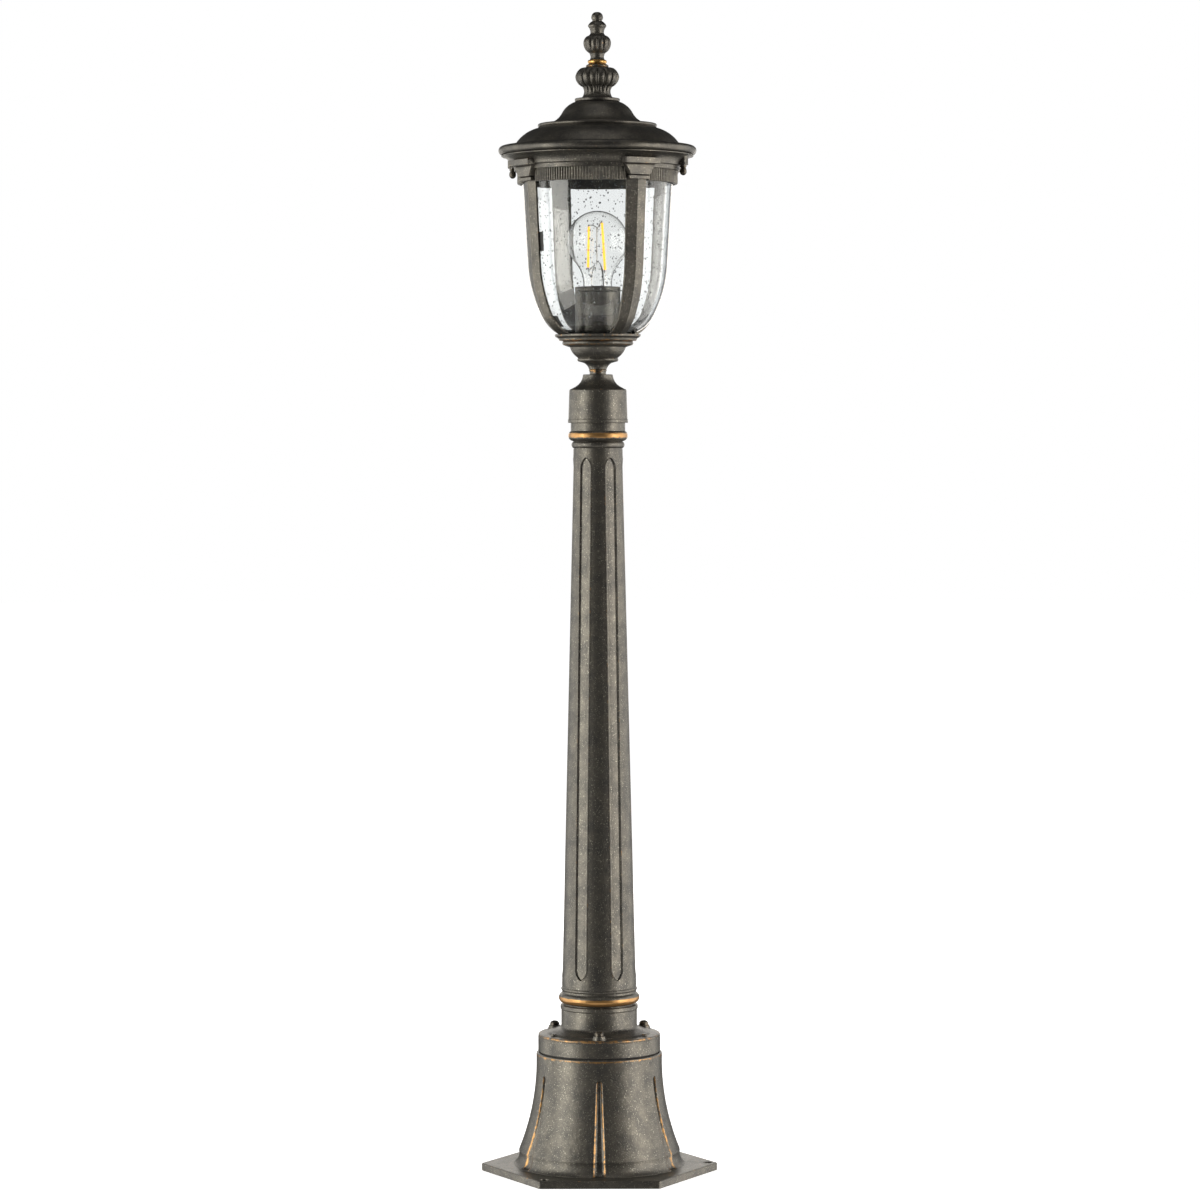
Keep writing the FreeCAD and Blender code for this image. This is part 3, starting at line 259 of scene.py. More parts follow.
def traced(corners, closed=True):
    """The points of an outline whose corners are (x, y), or (x, y, radius) where an arc leads to them."""
    points = []
    for index, corner in enumerate(corners):
        end = Vector(corner[:2])
        if len(corner) == 3 and (closed or index):
            points += arc_points(Vector(corners[index - 1][:2]), end, corner[2])
        else:
            points.append(end)
    return points


def softened(points, soft):
    """A closed outline with each sharp corner replaced by a small round."""
    result = []
    for index, point in enumerate(points):
        back = points[index - 1] - point
        ahead = points[(index + 1) % len(points)] - point
        turn = math.pi - back.angle(ahead)
        if turn < SOFTENED_TURN or point.x < ON_AXIS:
            result.append(point)
            continue
        reach = min(soft, back.length * 0.45, ahead.length * 0.45)
        begin = point + back.normalized() * reach
        end = point + ahead.normalized() * reach
        for step in range(4):
            share = step / 3
            result.append(begin * (1 - share) ** 2 + point * 2 * share * (1 - share) + end * share ** 2)
    return result


def dense(points, step):
    """A closed outline with its long sides cut into equal lengths, none longer than step."""
    result = []
    for index, point in enumerate(points):
        ahead = points[(index + 1) % len(points)]
        count = max(1, math.ceil((ahead - point).length / step))
        result += [point.lerp(ahead, part / count) for part in range(count)]
    return result


def polar(radius, degrees, height=0.0):
    turn = math.radians(degrees)
    return Vector((radius * math.cos(turn), radius * math.sin(turn), height))


def linked(name, data):
    """A new object in the scene."""
    thing = bpy.data.objects.new(name, data)
    bpy.context.scene.collection.objects.link(thing)
    return thing


def mesh_object(name, mesh_data):
    """A new object from a bmesh, which is used up."""
    mesh = bpy.data.meshes.new(name)
    mesh_data.to_mesh(mesh)
    mesh_data.free()
    return linked(name, mesh)


def wear_layer(mesh_data):
    """The vertex layer that says where gold is brushed onto the paint, and, on the collar's flange rim, where
    gold is partly a painted highlight.
    """
    layers = mesh_data.verts.layers.float
    return layers.get("gold") or layers.new("gold")


def smooth_faces(mesh_data):
    """Make every face smooth, and keep sharp folds sharp."""
    for face in mesh_data.faces:
        face.smooth = True
    for edge in mesh_data.edges:
        edge.smooth = len(edge.link_faces) == 2 and edge.calc_face_angle(0) < SHARP


def to_object(name, mesh_data, soft_edges=True):
    """An object from a bmesh in millimetres: outward normals, smooth faces, sharp folds kept."""
    bmesh.ops.recalc_face_normals(mesh_data, faces=mesh_data.faces)
    smooth_faces(mesh_data)
    bmesh.ops.scale(mesh_data, vec=(MM, MM, MM), verts=mesh_data.verts)
    thing = mesh_object(name, mesh_data)
    if soft_edges:
        thing.modifiers.new("weighted_normals", "WEIGHTED_NORMAL").keep_sharp = True
    return thing


def piece(thing, body, slot, *nodes, finish=None):
    """Give a finished object its body and its material, and hide the CAD nodes that it stands for."""
    thing.data.materials.clear()
    thing.data.materials.append(finishes[finish or slot])
    if nodes:
        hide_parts(*nodes)
    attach(thing, body)
    return thing


def skin(mesh_data, rows, closed=True):
    """Join rows of vertices with faces. A row of one vertex is a pole.

    closed joins the last row to the first."""
    pairs = zip(rows, rows[1:] + rows[:1]) if closed else zip(rows, rows[1:])
    for first, second in pairs:
        if len(first) == 1 and len(second) == 1:
            continue
        count = max(len(first), len(second))
        for index in range(count):
            after = (index + 1) % count
            if len(first) == 1:
                corners = (first[0], second[after], second[index])
            elif len(second) == 1:
                corners = (first[index], first[after], second[0])
            else:
                corners = (first[index], first[after], second[after], second[index])
            mesh_data.faces.new(corners)


def capped_skin(mesh_data, rows):
    """Join rows of vertices into a bar with flat ends."""
    skin(mesh_data, rows, closed=False)
    mesh_data.faces.new(reversed(rows[0]))
    mesh_data.faces.new(rows[-1])


def spin(mesh_data, outline, columns, shape=None, gold=None, centre=(0, 0)):
    """A closed turned solid. shape and gold give a vertex's radius and its share of gold from its point,
    angle and column; on the collar's flange rim that gold is partly a painted highlight.

    columns is a count, or a function that gives a row's angles in radians."""
    wear = wear_layer(mesh_data)
    rows = []
    for point in outline:
        if point.x < ON_AXIS:
            rows.append([mesh_data.verts.new((centre[0], centre[1], point.y))])
            continue
        if callable(columns):
            angles = columns(point)
        else:
            angles = [2 * math.pi * index / columns for index in range(columns)]
        row = []
        for index, angle in enumerate(angles):
            radius = shape(point, angle, index) if shape else point.x
            vertex = mesh_data.verts.new((
                centre[0] + radius * math.cos(angle), centre[1] + radius * math.sin(angle), point.y))
            if gold:
                vertex[wear] = gold(point, angle, index)
            row.append(vertex)
        rows.append(row)
    skin(mesh_data, rows)


def lathe(name, corners, columns, soft, shape=None, gold=None):
    """A turned piece as an object."""
    mesh_data = bmesh.new()
    spin(mesh_data, softened(traced(corners), soft), columns, shape, gold)
    return to_object(name, mesh_data)


def rounded(corners, radius, inset=0.0, steps=5):
    """A convex outline, counter-clockwise, with rounded corners, moved inwards by inset."""
    result = []
    for index, corner in enumerate(corners):
        corner = Vector(corner)
        begin = (corner - Vector(corners[index - 1])).normalized()
        end = (Vector(corners[(index + 1) % len(corners)]) - corner).normalized()
        turn = begin.angle(end)
        centre = corner + (end - begin).normalized() * (radius / math.cos(turn / 2))
        outwards = Vector((begin.y, -begin.x))
        for step in range(steps + 1):
            result.append(centre + Matrix.Rotation(turn * step / steps, 2) @ outwards * (radius - inset))
    return result


def ring_loop(radius, count, centre=(0, 0)):
    """A hole's outline, clockwise."""
    return [Vector((centre[0] + radius * math.cos(-2 * math.pi * index / count),
                    centre[1] + radius * math.sin(-2 * math.pi * index / count))) for index in range(count)]


def slab(mesh_data, loops_at, low, high, edge, turn=0.0, wear_at=None):
    """A flat solid with rounded upper edges. loops_at(inset) gives its outline and holes at that inset."""
    wear = wear_layer(mesh_data)
    chamfer = 0.3
    profile = [(chamfer, low), (0, low + chamfer)]
    for step in range(4):
        swing = math.radians(30 * step)
        profile.append((edge * (1 - math.cos(swing)), high - edge + edge * math.sin(swing)))
    spun = Matrix.Rotation(math.radians(turn), 4, "Z")
    levels = []
    for inset, height in profile:
        levels.append([[mesh_data.verts.new(spun @ Vector((point.x, point.y, height))) for point in loop]
                       for loop in loops_at(inset)])
        if wear_at:
            for loop in levels[-1]:
                for vertex in loop:
                    vertex[wear] = wear_at(inset)
    for lower, upper in zip(levels, levels[1:]):
        for first, second in zip(lower, upper):
            skin(mesh_data, [first, second], closed=False)
    for level in (levels[0], levels[-1]):
        flat = [vertex for loop in level for vertex in loop]
        for corners in tessellate_polygon([[vertex.co.xy.to_3d() for vertex in loop] for loop in level]):
            mesh_data.faces.new([flat[corner] for corner in corners])


ROD_END = ((-0.9, 0.5), (-0.5, 0.87), (0, 1))


def tube(mesh_data, points, radius, sides, taper=None):
    """A closed rod along a line of points, with rounded ends. ROD_END is an end's outline, in radii."""
    points = [Vector(point) for point in points]
    rows = []
    side = None
    for index, point in enumerate(points):
        ahead = (points[min(index + 1, len(points) - 1)] - points[max(index - 1, 0)]).normalized()
        if side is None:
            side = ahead.orthogonal().normalized()
        side = (side - ahead * side.dot(ahead)).normalized()
        other = ahead.cross(side)
        size = radius * (taper(index / (len(points) - 1)) if taper else 1)
        rings = [(0, 1)]
        if index == 0:
            rings = ROD_END
        if index == len(points) - 1:
            rings = [(-along, wide) for along, wide in reversed(ROD_END)]
        for along, wide in rings:
            rows.append([mesh_data.verts.new(
                point + ahead * along * size
                + (side * math.cos(2 * math.pi * turn / sides) + other * math.sin(2 * math.pi * turn / sides))
                * wide * size) for turn in range(sides)])
        if index == 0:
            rows.insert(0, [mesh_data.verts.new(point - ahead * size)])
        if index == len(points) - 1:
            rows.append([mesh_data.verts.new(point + ahead * size)])
    skin(mesh_data, rows, closed=False)


def bored(thing, holes, merge=False):
    """Cut round holes, each (start, direction, radius, length) in millimetres, into an object's mesh.

    merge also unites the mesh's own overlapping shells."""
    cutter_mesh = bmesh.new()
    for start, direction, radius, length in holes:
        facing = Vector(direction).to_track_quat("Z", "Y").to_matrix().to_4x4()
        middle = Vector(start) + Vector(direction).normalized() * length / 2
        bmesh.ops.create_cone(cutter_mesh, cap_ends=True, segments=32, radius1=radius, radius2=radius,
                              depth=length, matrix=Matrix.Translation(middle) @ facing)
    bmesh.ops.scale(cutter_mesh, vec=(MM, MM, MM), verts=cutter_mesh.verts)
    cutter = mesh_object("cutter", cutter_mesh)
    drill = thing.modifiers.new("drill", "BOOLEAN")
    drill.object = cutter
    drill.solver = "EXACT"
    drill.use_self = merge
    thing.modifiers.move(len(thing.modifiers) - 1, 0)
    weighted = thing.modifiers["weighted_normals"]
    weighted.show_viewport = False
    bpy.context.view_layer.update()
    drilled = bpy.data.meshes.new_from_object(thing.evaluated_get(bpy.context.evaluated_depsgraph_get()))
    thing.modifiers.remove(drill)
    weighted.show_viewport = True
    thing.data = drilled
    bpy.data.objects.remove(cutter)
    cleaned = bmesh.new()
    cleaned.from_mesh(drilled)
    smooth_faces(cleaned)
    cleaned.to_mesh(drilled)
    cleaned.free()
    return thing


class Flutes:
    """Six flutes or grooves round a turned piece: where its columns stand, and what lies at each of them.

    section lists (across, depth, wear) from a flute's edge to its middle, and land is the count of columns
    between two flutes."""

    def __init__(self, centres, section, land):
        self.centres = [math.radians(centre) for centre in centres]
        self.section = section
        self.land = land

    def angles(self, radius, reaches):
        """A row's angles at a radius. reaches are the section's distances from a flute's middle."""
        spans = [math.asin(min(reach / radius, 0.9)) for reach in reaches]
        gap = math.radians(60) - 2 * spans[0]
        angles = []
        for centre in self.centres:
            angles += [centre - span for span in spans] + [centre]
            angles += [centre + span for span in reversed(spans)]
            angles += [centre + spans[0] + gap * step / (self.land + 1) for step in range(1, self.land + 1)]
        return angles

    def at(self, index):
        """The section's depth and wear at a column, or None on the land between two flutes."""
        count = len(self.section)
        index %= count * 2 + 1 + self.land
        if index > count * 2:
            return None
        return self.section[min(index, count * 2 - index, count - 1)][1:]


# -------- foot

PLATE_THICK = 7.1
BELL_INSIDE = 77


def foot_plate():
    """The hexagonal plate with rounded corners and three mounting holes."""
    low = low_of("base_bell")
    corners = [polar(113, 60 * index).xy for index in range(6)]
    corner_radius = 3.5
    hole = 4
    edge = 1.2

    def loops(inset):
        widened = min(inset, 0.4)
        rims = [rounded(corners, corner_radius, inset), ring_loop(BELL_INSIDE + widened, 96)]
        return rims + [ring_loop(hole + widened, 32, polar(BOLT_CIRCLE, angle).xy) for angle in MOUNT_ANGLES]

    mesh_data = bmesh.new()
    slab(mesh_data, loops, low, low + PLATE_THICK, edge, wear_at=lambda inset: 0.24 if inset > 0.1 else 0.1)
    return to_object("foot_plate", mesh_data)


GROOVE_DEPTH = 2.6
GROOVE_TIP = 3.4
GROOVES = Flutes(GROOVE_ANGLES, (
    (1.16, 0.0, 0.0), (1.0, 0.03, 0.1), (0.8, 0.1, 0.4), (0.55, 0.24, 0.7), (0.3, 0.5, 0.55),
    (0.0, 0.82, 0.15), (-0.35, 0.98, 0.0), (-0.7, 1.0, 0.0)), 6)


def groove_size(height, low, high):
    """A groove's channel half-width and shoulder width at a height; both shrink round its tip."""
    share = ease((high - height) / (high - low)) * 0.35 + (high - height) / (high - low) * 0.65
    tip = min(max((high - height) / GROOVE_TIP, 0), 1)
    swell = math.sqrt(max(1 - (1 - tip) ** 2, 0))
    least = max(swell, 0.05)
    return mixed(1.3, 3.5, share) * least, mixed(1.6, 3.5, share) * least, swell


def base_bell():
    """The hollow bell with its six tapered grooves."""
    base, top = span_of("base_bell")
    low = base + 7.6
    high = base + 94.7
    plate = base + PLATE_THICK
    outline = softened(traced([
        (20, top), (20, top - 6), (50, top - 6), (55, top - 11, -5), (71.9, base + 20.4, 233),
        (BELL_INSIDE, base + 0.4), (BELL_INSIDE, base + 0.2), (81.6, base + 6.2), (82, plate),
        (76.9, base + 20.4, -13), (60, base + 109, -228), (60, top - 1.6), (58.4, top, 1.6)]), 0.4)
    fine = []
    for point, after in zip(outline, outline[1:] + outline[:1]):
        fine.append(point)
        near_tip = point.x > 58 and high - 5 < point.y < high + 1
        if near_tip or (point.x > 75 and point.y < base + 12):
            steps = max(int((after - point).length / 0.5), 1)
            fine += [point.lerp(after, step / steps) for step in range(1, steps)]

    def outer(point):
        return point.x > 58.5 and base + 6.8 < point.y < top - 1.2

    def size_at(point):
        return groove_size(min(max(point.y, low), high), low, high)

    def columns(point):
        channel, shoulder, _ = size_at(point) if outer(point) else groove_size(high, low, high)
        reaches = [channel + shoulder * across if across >= 0 else channel * (1 + across)
                   for across, _, _ in GROOVES.section]
        return GROOVES.angles(point.x, reaches)

    def shape(point, angle, index):
        groove = GROOVES.at(index)
        if groove is None or not outer(point) or not low - 0.6 < point.y < high:
            return point.x
        fade = ease((point.y - base - 7.0) / 1.2)
        return point.x - GROOVE_DEPTH * groove[0] * min(size_at(point)[2] * 1.6, 1) * fade

    def gold(point, angle, index):
        groove = GROOVES.at(index)
        if not outer(point):
            return 0.0
        if point.y > top - 2.2:
            return 0.62
        return groove[1] if groove and low <= point.y <= high else 0.0

    mesh_data = bmesh.new()
    spin(mesh_data, fine, columns, shape, gold)
    bell = to_object("base_bell_cast", mesh_data)
    holes = [(polar(FLANGE_CIRCLE, angle, top - 8), (0, 0, 1), 2.05, 12) for angle in FLANGE_SCREW_ANGLES]
    return bored(bell, holes)


def base_collar():
    """The flanged collar with its bosses, nubs and holes."""
    low, top = span_of("base_collar")
    flange = low + 16.6
    outline = softened(traced([
        (44, low), (58.2, low), (58.2, flange - 3.0), (57.8, flange - 2.6), (57.8, flange - 2.2),
        (58, flange - 1.9), (58, flange - 1.2), (56.8, flange, 1.2), (50.2, flange + 0.5),
        (48.6, flange + 1.9), (38.7, flange + 5), (36.1, flange + 8, -4.6), (36.1, top - 4.2),
        (36.9, top - 3.6), (36.9, top - 0.6), (36.3, top, 0.6), (30.05, top), (30.05, top - 23.9),
        (15, top - 23.9), (15, low + 10), (44, low + 10)]), 0.35)

    def gold(point, angle, index):
        # Flange rim: brushed gold all round, plus a painted highlight that makes it stronger at the front and
        # weaker at the back.
        if point.x > 56 and point.y > flange - 2.0:
            return 0.36 + 0.2 * math.cos(angle + math.pi / 2)
        return 0.1 if point.x > 47 and point.y > flange + 1.5 else 0.0

    mesh_data = bmesh.new()
    spin(mesh_data, outline, 144, None, gold)
    wear = wear_layer(mesh_data)
    for angles, foot, head, rise in ((FLANGE_SCREW_ANGLES, 6.9, 5.4, 4), (FLANGE_NUB_ANGLES, 3.4, 2.6, 2.4)):
        sunk = flange - 1
        crest = flange + rise
        boss = softened(traced([(0, sunk), (foot, sunk), (head, crest), (0, crest)]), 0.7)
        for angle in angles:
            before = len(mesh_data.verts)
            spin(mesh_data, boss, 32, centre=polar(FLANGE_CIRCLE, angle).xy)
            mesh_data.verts.ensure_lookup_table()
            for vertex in mesh_data.verts[before:]:
                vertex[wear] = 0.32 if vertex.co.z > crest - 1.2 else 0.0
    collar = to_object("base_collar_cast", mesh_data)
    holes = [(polar(28, angle, top - 10), polar(1, angle), 3.0, 12) for angle in REAR_SCREW_ANGLES]
    return bored(collar, holes, merge=True)


# -------- post

FLUTES = Flutes(FLUTE_ANGLES, (
    (1.2, 0.0, 0.0), (0.75, -0.1, 0.3), (0.3, -0.2, 0.3), (0.0, 0.02, 0.3), (-0.28, 0.5, 0.0),
    (-0.5, 1.0, 0.0), (-0.85, 1.35, 0.0), (-1.5, 1.55, 0.0), (-2.6, 1.6, 0.0)), 7)
ARCH = 10.5
ARCH_ROWS = (0, 0.03, 0.08, 0.15, 0.24, 0.34, 0.45, 0.57, 0.7, 0.85, 1)


def post_shaft():
    """The fluted shaft: flat-bottomed channels with pointed ends, and gilded mouldings at both ends."""
    base = low_of("post_shaft")
    neck = base + 23.7
    low = base + 43.2
    tip_low = base + 49.8
    tip_high = base + 545.0
    high = base + 552.1
    cap = base + 577.9
    foot = 35.4
    crest = 23.4
    skirt = foot - 0.2
    collar = crest - 0.2
    least = 0.9
    outline = traced([
        (25, base), (30, base), (30, neck), (foot - 1.8, neck), (foot - 1.8, neck + 1.5),
        (foot - 0.6, neck + 2), (skirt, neck + 11.8, 5.2), (skirt, neck + 13.7),
        (skirt, neck + 17.1, 1.9), (foot, low)])
    heights = [low + 1.2 * step for step in range(1, 4)]
    heights += [tip_low + share * ARCH for share in ARCH_ROWS]
    heights += [mixed(tip_low + ARCH, tip_high - ARCH, step / 34) for step in range(1, 34)]
    heights += [tip_high - share * ARCH for share in reversed(ARCH_ROWS)]
    heights += [tip_high + (high - tip_high) * share for share in (0.33, 0.66)]

    def radius_at(height):
        return mixed(foot, crest, (height - low) / (high - low))

    fluted = [Vector((radius_at(height), height)) for height in heights]
    upper = traced([
        (crest, high), (collar, high + 1.8), (collar, high + 8.1, 3.5), (crest + 0.8, high + 8.6),
        (25.84, high + 18, 5.15), (25.84, cap), (24, cap), (24, cap + 25.2), (18.5, cap + 25.2),
        (18.5, high + 4), (29.5, low - 6), (25, neck + 3)], closed=False)
    outline = softened(outline, 0.3)[:-1] + [Vector((foot, low))] + fluted + softened(upper, 0.3)

    def half_width(height):
        """Half of a flute's width: full in the middle, and a pointed arch at each end."""
        full = mixed(6.1, 5.6, (height - low) / (high - low))
        rise = max(tip_low + ARCH - height, height - tip_high + ARCH, 0) / ARCH * 3 ** 0.5 * full
        if rise == 0:
            return full
        return max(math.sqrt(max(4 * full * full - rise * rise, 0)) - full, 0.0)

    def is_fluted(point):
        return low - 0.5 < point.y < high + 0.5 and abs(point.x - radius_at(point.y)) < 0.6

    def columns(point):
        half = max(half_width(point.y), least) if is_fluted(point) else least
        squeeze = min(half / 2.8, 1)
        return FLUTES.angles(point.x, [half + across * squeeze for across, _, _ in FLUTES.section])

    def shape(point, angle, index):
        flute = FLUTES.at(index)
        if flute is None or not is_fluted(point):
            return point.x
        return point.x - flute[0] * min(half_width(point.y) / 1.6, 1)

    def gold(point, angle, index):
        if neck + 1.6 < point.y < neck + 12 and point.x > foot - 0.7:
            return 0.98 * ease((neck + 9.0 - point.y) / 1.2)
        if high + 8.2 < point.y < high + 18.2 and point.x > crest + 0.5:
            return 0.9 * ease((point.y - high - 10) / 3) * ease((high + 17.4 - point.y) / 2)
        if neck + 13 < point.y < neck + 18 and point.x > foot:
            return 0.22
        flute = FLUTES.at(index)
        return flute[1] if flute and is_fluted(point) and half_width(point.y) > 0.3 else 0.0

    mesh_data = bmesh.new()
    spin(mesh_data, outline, columns, shape, gold)
    return to_object("post_shaft_cast", mesh_data)


def post_cap():
    """The cap over the shaft, with its two set-screw holes at the back."""
    low, top = span_of("post_cap")
    skirt = 28.1
    shoulder = low + 32

    def gold(point, angle, index):
        return 0.3 if point.x > 25 and point.y > shoulder - 1.5 else 0.0

    cap = lathe("post_cap_cast", [
        (24.1, low), (skirt + 0.4, low), (skirt + 0.4, low + 3), (skirt, low + 3.6), (27.2, shoulder - 2),
        (25.4, shoulder, 1.8), (22, shoulder + 1.9), (14.2, top - 0.6, -14), (13.6, top, 0.6), (5.1, top),
        (5.1, top - 9.7), (16, top - 9.7), (16, low + 25.5), (24.1, low + 25.5)], 112, 0.35, gold=gold)
    holes = [(polar(23, angle, low + 13), polar(1, angle), 2.5, 8) for angle in REAR_SCREW_ANGLES]
    return bored(cap, holes)


# -------- cup and lampholder

def neck_ring():
    low, top = span_of("neck_ring")
    return lathe("neck_ring_turned", [
        (5.1, low), (7.8, low), (7.8, top - 2), (7.8, top, 1.1), (5.1, top)], 64, 0.2,
        gold=lambda point, angle, index: 0.5 if point.x > 7.5 and point.y > top - 2.2 else 0.1)


def bottom_cup():
    low, top = span_of("bottom_cup")
    rim = 40.85

    def gold(point, angle, index):
        if point.x > 31 and min(abs(point.y - low - 23.1), abs(point.y - low - 26.9)) < 0.75:
            return 0.5
        if point.x > 40 and point.y > top - 2.4:
            return 0.34
        if 18 < point.x < 20.6 and point.y < low + 11.5:
            return 0.25
        if point.x < 9 and point.y < low + 1:
            return 0.3
        return 0.0

    return lathe("bottom_cup_cast", [
        (5.1, low), (8.4, low), (13.2, low + 6.1, -9), (18.6, low + 7.6), (18.6, low + 10.6, 1.7),
        (19.8, low + 11.6), (26.6, low + 21, 18), (32.6, low + 23), (32.6, low + 26.8, 2.2),
        (36.6, low + 27.2), (37.6, low + 29.4), (rim - 0.5, top - 2.2), (rim, top - 0.6),
        (rim - 0.6, top, 0.6), (36.5, top), (36.5, top - 3.9), (24.6, top - 3.9), (24.6, top - 9.9),
        (20, low + 15.9), (16.5, low + 9.9), (5.1, low + 9.9)], 128, 0.3, gold=gold)


def socket_sleeve():
    low, top = span_of("socket_sleeve")
    return lathe("socket_sleeve_drawn", [
        (20.6, low), (21.6, low), (21.6, top - 5.2), (21.2, top - 4.8), (21.2, top - 4.2), (21.6, top - 3.8),
        (21.6, top - 1), (20.6, top, 1), (18.8, top), (18.8, top - 1.6), (20.6, top - 1.6)], 96, 0.25,
        gold=lambda point, angle, index: 0.2 if point.x > 20 and point.y > top - 6 else 0.0)


def bulb_cap():
    """The bulb's threaded cap."""
    low, top = span_of("bulb_cap")
    thread_low = low + 6.4
    thread_high = top - 3.2
    pitch = 3.6
    side = [(13, thread_low + (thread_high - thread_low) * step / 44) for step in range(45)]

    def shape(point, angle, index):
        if point.x < 12.9:
            return point.x
        depth = ease((point.y - thread_low) / 2) * ease((thread_high - point.y) / 2)
        wave = 0.5 - 0.5 * math.cos(2 * math.pi * (point.y - low) / pitch - angle)
        return point.x - 0.75 * depth * (1 - wave)

    return lathe("bulb_cap_threaded", [
        (0, low), (3.6, low), (4.4, low + 1), (10.5, low + 3.2), (13, low + 5.2)] + side + [
        (13, top), (12.4, top), (12.4, low + 6.2), (0, low + 6.2)], 72, 0.3, shape)


def bulb_envelope():
    """The bulb's thin glass: a globe on a narrowing neck."""
    neck_low, top = span_of("bulb_envelope")
    globe = 29.0
    centre = top - globe
    tilt = math.radians(38)
    start = centre - globe * math.sin(tilt) - 22.3

    def side(inset):
        size = globe - inset
        bend = 30 + inset
        end = 43.5 - math.cos(tilt) * bend
        return (13.5 - inset, start), (end, start + bend * math.sin(tilt)), (
            size * math.cos(tilt), centre - size * math.sin(tilt)), (0, centre + size), size, bend

    neck, bend_end, under, pole, size, bend = side(0)
    outline = [(12.2, neck_low), (12.2, neck_low + 8), (13.5, neck_low + 10), neck, (*bend_end, -bend), under,
               (*pole, size)]
    neck, bend_end, under, pole, size, bend = side(0.6)
    outline += [pole, (*under, -size), bend_end, (*neck, bend), (12.6, neck_low + 10.3),
                (11.3, neck_low + 8.4), (11.3, neck_low)]
    mesh_data = bmesh.new()
    spin(mesh_data, traced(outline), 96)
    return to_object("bulb_envelope_blown", mesh_data, soft_edges=False)


def bulb_stem():
    """The glass stem inside the bulb, pinched at its top."""
    low = low_of("bulb_stem")

    def shape(point, angle, index):
        return point.x * (1 - 0.42 * ease((point.y - low - 22) / 10) * abs(math.sin(angle)))

    return lathe("bulb_stem_drawn", [
        (0, low), (10.4, low), (10.4, low + 2), (7.4, low + 8, -8), (6.2, low + 14), (5.6, low + 26),
        (4.6, low + 32), (2.4, low + 37), (0, low + 38.6)], 48, 0.6, shape)


def filament_ends():
    """The two filaments' lower and upper ends, from the CAD node's box."""
    low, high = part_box("bulb_filaments")
    foot = low.z / MM
    top = high.z / MM
    left = low.x / MM + 0.9
    right = high.x / MM - 0.9
    return ((Vector((left, -1.5, foot + 2.3)), Vector((left + 0.9, -1, top - 3.8))),
            (Vector((right, 1.5, foot)), Vector((right - 2.8, 1, top))))


def bulb_filaments():
    """The two lit strips, a little thicker and thinner along their length."""
    beads = 14
    radius = 1.15
    mesh_data = bmesh.new()
    for foot, top in filament_ends():
        line = [foot.lerp(top, 0.02 + 0.96 * step / 40) for step in range(41)]
        tube(mesh_data, line, radius, 14, lambda share: 0.88 + 0.12 * abs(math.cos(share * math.pi * beads)))
    return to_object("bulb_filaments_lit", mesh_data, soft_edges=False)


def bulb_wires():
    """The wires that hold the filaments: a centre post, cross wires at its top and two leads."""
    stem_top = low_of("bulb_stem") + 36
    top = high_of("bulb_stem")
    thin = 0.42
    thick = 0.5
    ferrule = 1.05
    mesh_data = bmesh.new()
    tube(mesh_data, [(-0.6, 0.3, stem_top), (-0.8, 0.2, stem_top + 12), (-0.6, 0, top - 4)], thick, 10)
    for (foot, head), hand in zip(filament_ends(), (-1, 1)):
        post = Vector((-0.6, 0, top - 4.5 - hand))
        cross = [post, post.lerp(head, 0.5) + Vector((0, 0, 1.6))]
        tube(mesh_data, cross + [head + Vector((0, 0, 1.2)), head + Vector((0, 0, -0.6))], thin, 8)
        root = Vector((2.4 * hand, 0, stem_top - 5))
        lead = [root, root + Vector((1.0 * hand, 0, 4))]
        tube(mesh_data, lead + [foot + Vector((-0.6 * hand, 0, -3)), foot + Vector((0, 0, 0.6))], thin, 8)
        for end, side in ((foot, 1), (head, -1)):
            along = (head - foot).normalized() * 1.6 * side
            tube(mesh_data, [end - along * 0.4, end + along * 0.5], ferrule, 12)
    return to_object("bulb_wires", mesh_data, soft_edges=False)


# -------- shade

SHADE_BEND = 67.3
SHADE_RIM = 155.8


def shade_side(base):
    """The shade's outer outline from its hole up to its rim, and the inner one back down."""
    bend = base + SHADE_BEND
    rim = base + SHADE_RIM
    outer = [(26.6, base), (39.3, base + 4.6, 39), (54.6, base + 20.3, 39), (67, bend, 119), (72.2, rim)]
    inner = [(69.6, rim), (64.4, bend), (52.3, base + 21.5, -116.4), (38, base + 6.9, -36.4),
             (26.6, base + 2.6, -36.4)]
    return outer, inner


def glass_shade():
    """The clear shade, an open bowl with a hole in its bottom."""
    outer, inner = shade_side(low_of("glass_shade"))
    mesh_data = bmesh.new()
    spin(mesh_data, dense(softened(traced(outer + inner), 0.7), 2.0), 144)
    return to_object("glass_shade_blown", mesh_data, soft_edges=False)


def shade_seeds(count):
    """Small air bubbles in the shade's glass, between two heights above its hole."""
    random.seed(11)
    lowest = 9
    highest = 152
    least = 0.52
    spread = 0.42
    base = low_of("glass_shade")
    wall = traced(shade_side(0)[0], closed=False)
    mesh_data = bmesh.new()
    for _ in range(count):
        height = random.uniform(lowest, highest)
        angle = random.uniform(0, 360)
        if height > SHADE_BEND:
            radius = mixed(67, 72.2, (height - SHADE_BEND) / (SHADE_RIM - SHADE_BEND)) - 1.3
        else:
            below, above = next((a, b) for a, b in zip(wall, wall[1:]) if a.y <= height <= b.y)
            radius = mixed(below.x, above.x, (height - below.y) / (above.y - below.y)) - 1.6
        size = least + spread * random.random() ** 3
        tall = random.uniform(1.0, 1.5)
        where = polar(radius + random.uniform(-0.25, 0.25), angle, base + height)
        bmesh.ops.create_icosphere(mesh_data, subdivisions=1, radius=1.0, matrix=(
            Matrix.Translation(where) @ Matrix.Diagonal((size, size, size * tall, 1))))
    return to_object("shade_seeds", mesh_data, soft_edges=False)


# -------- crown, ribs and reeds

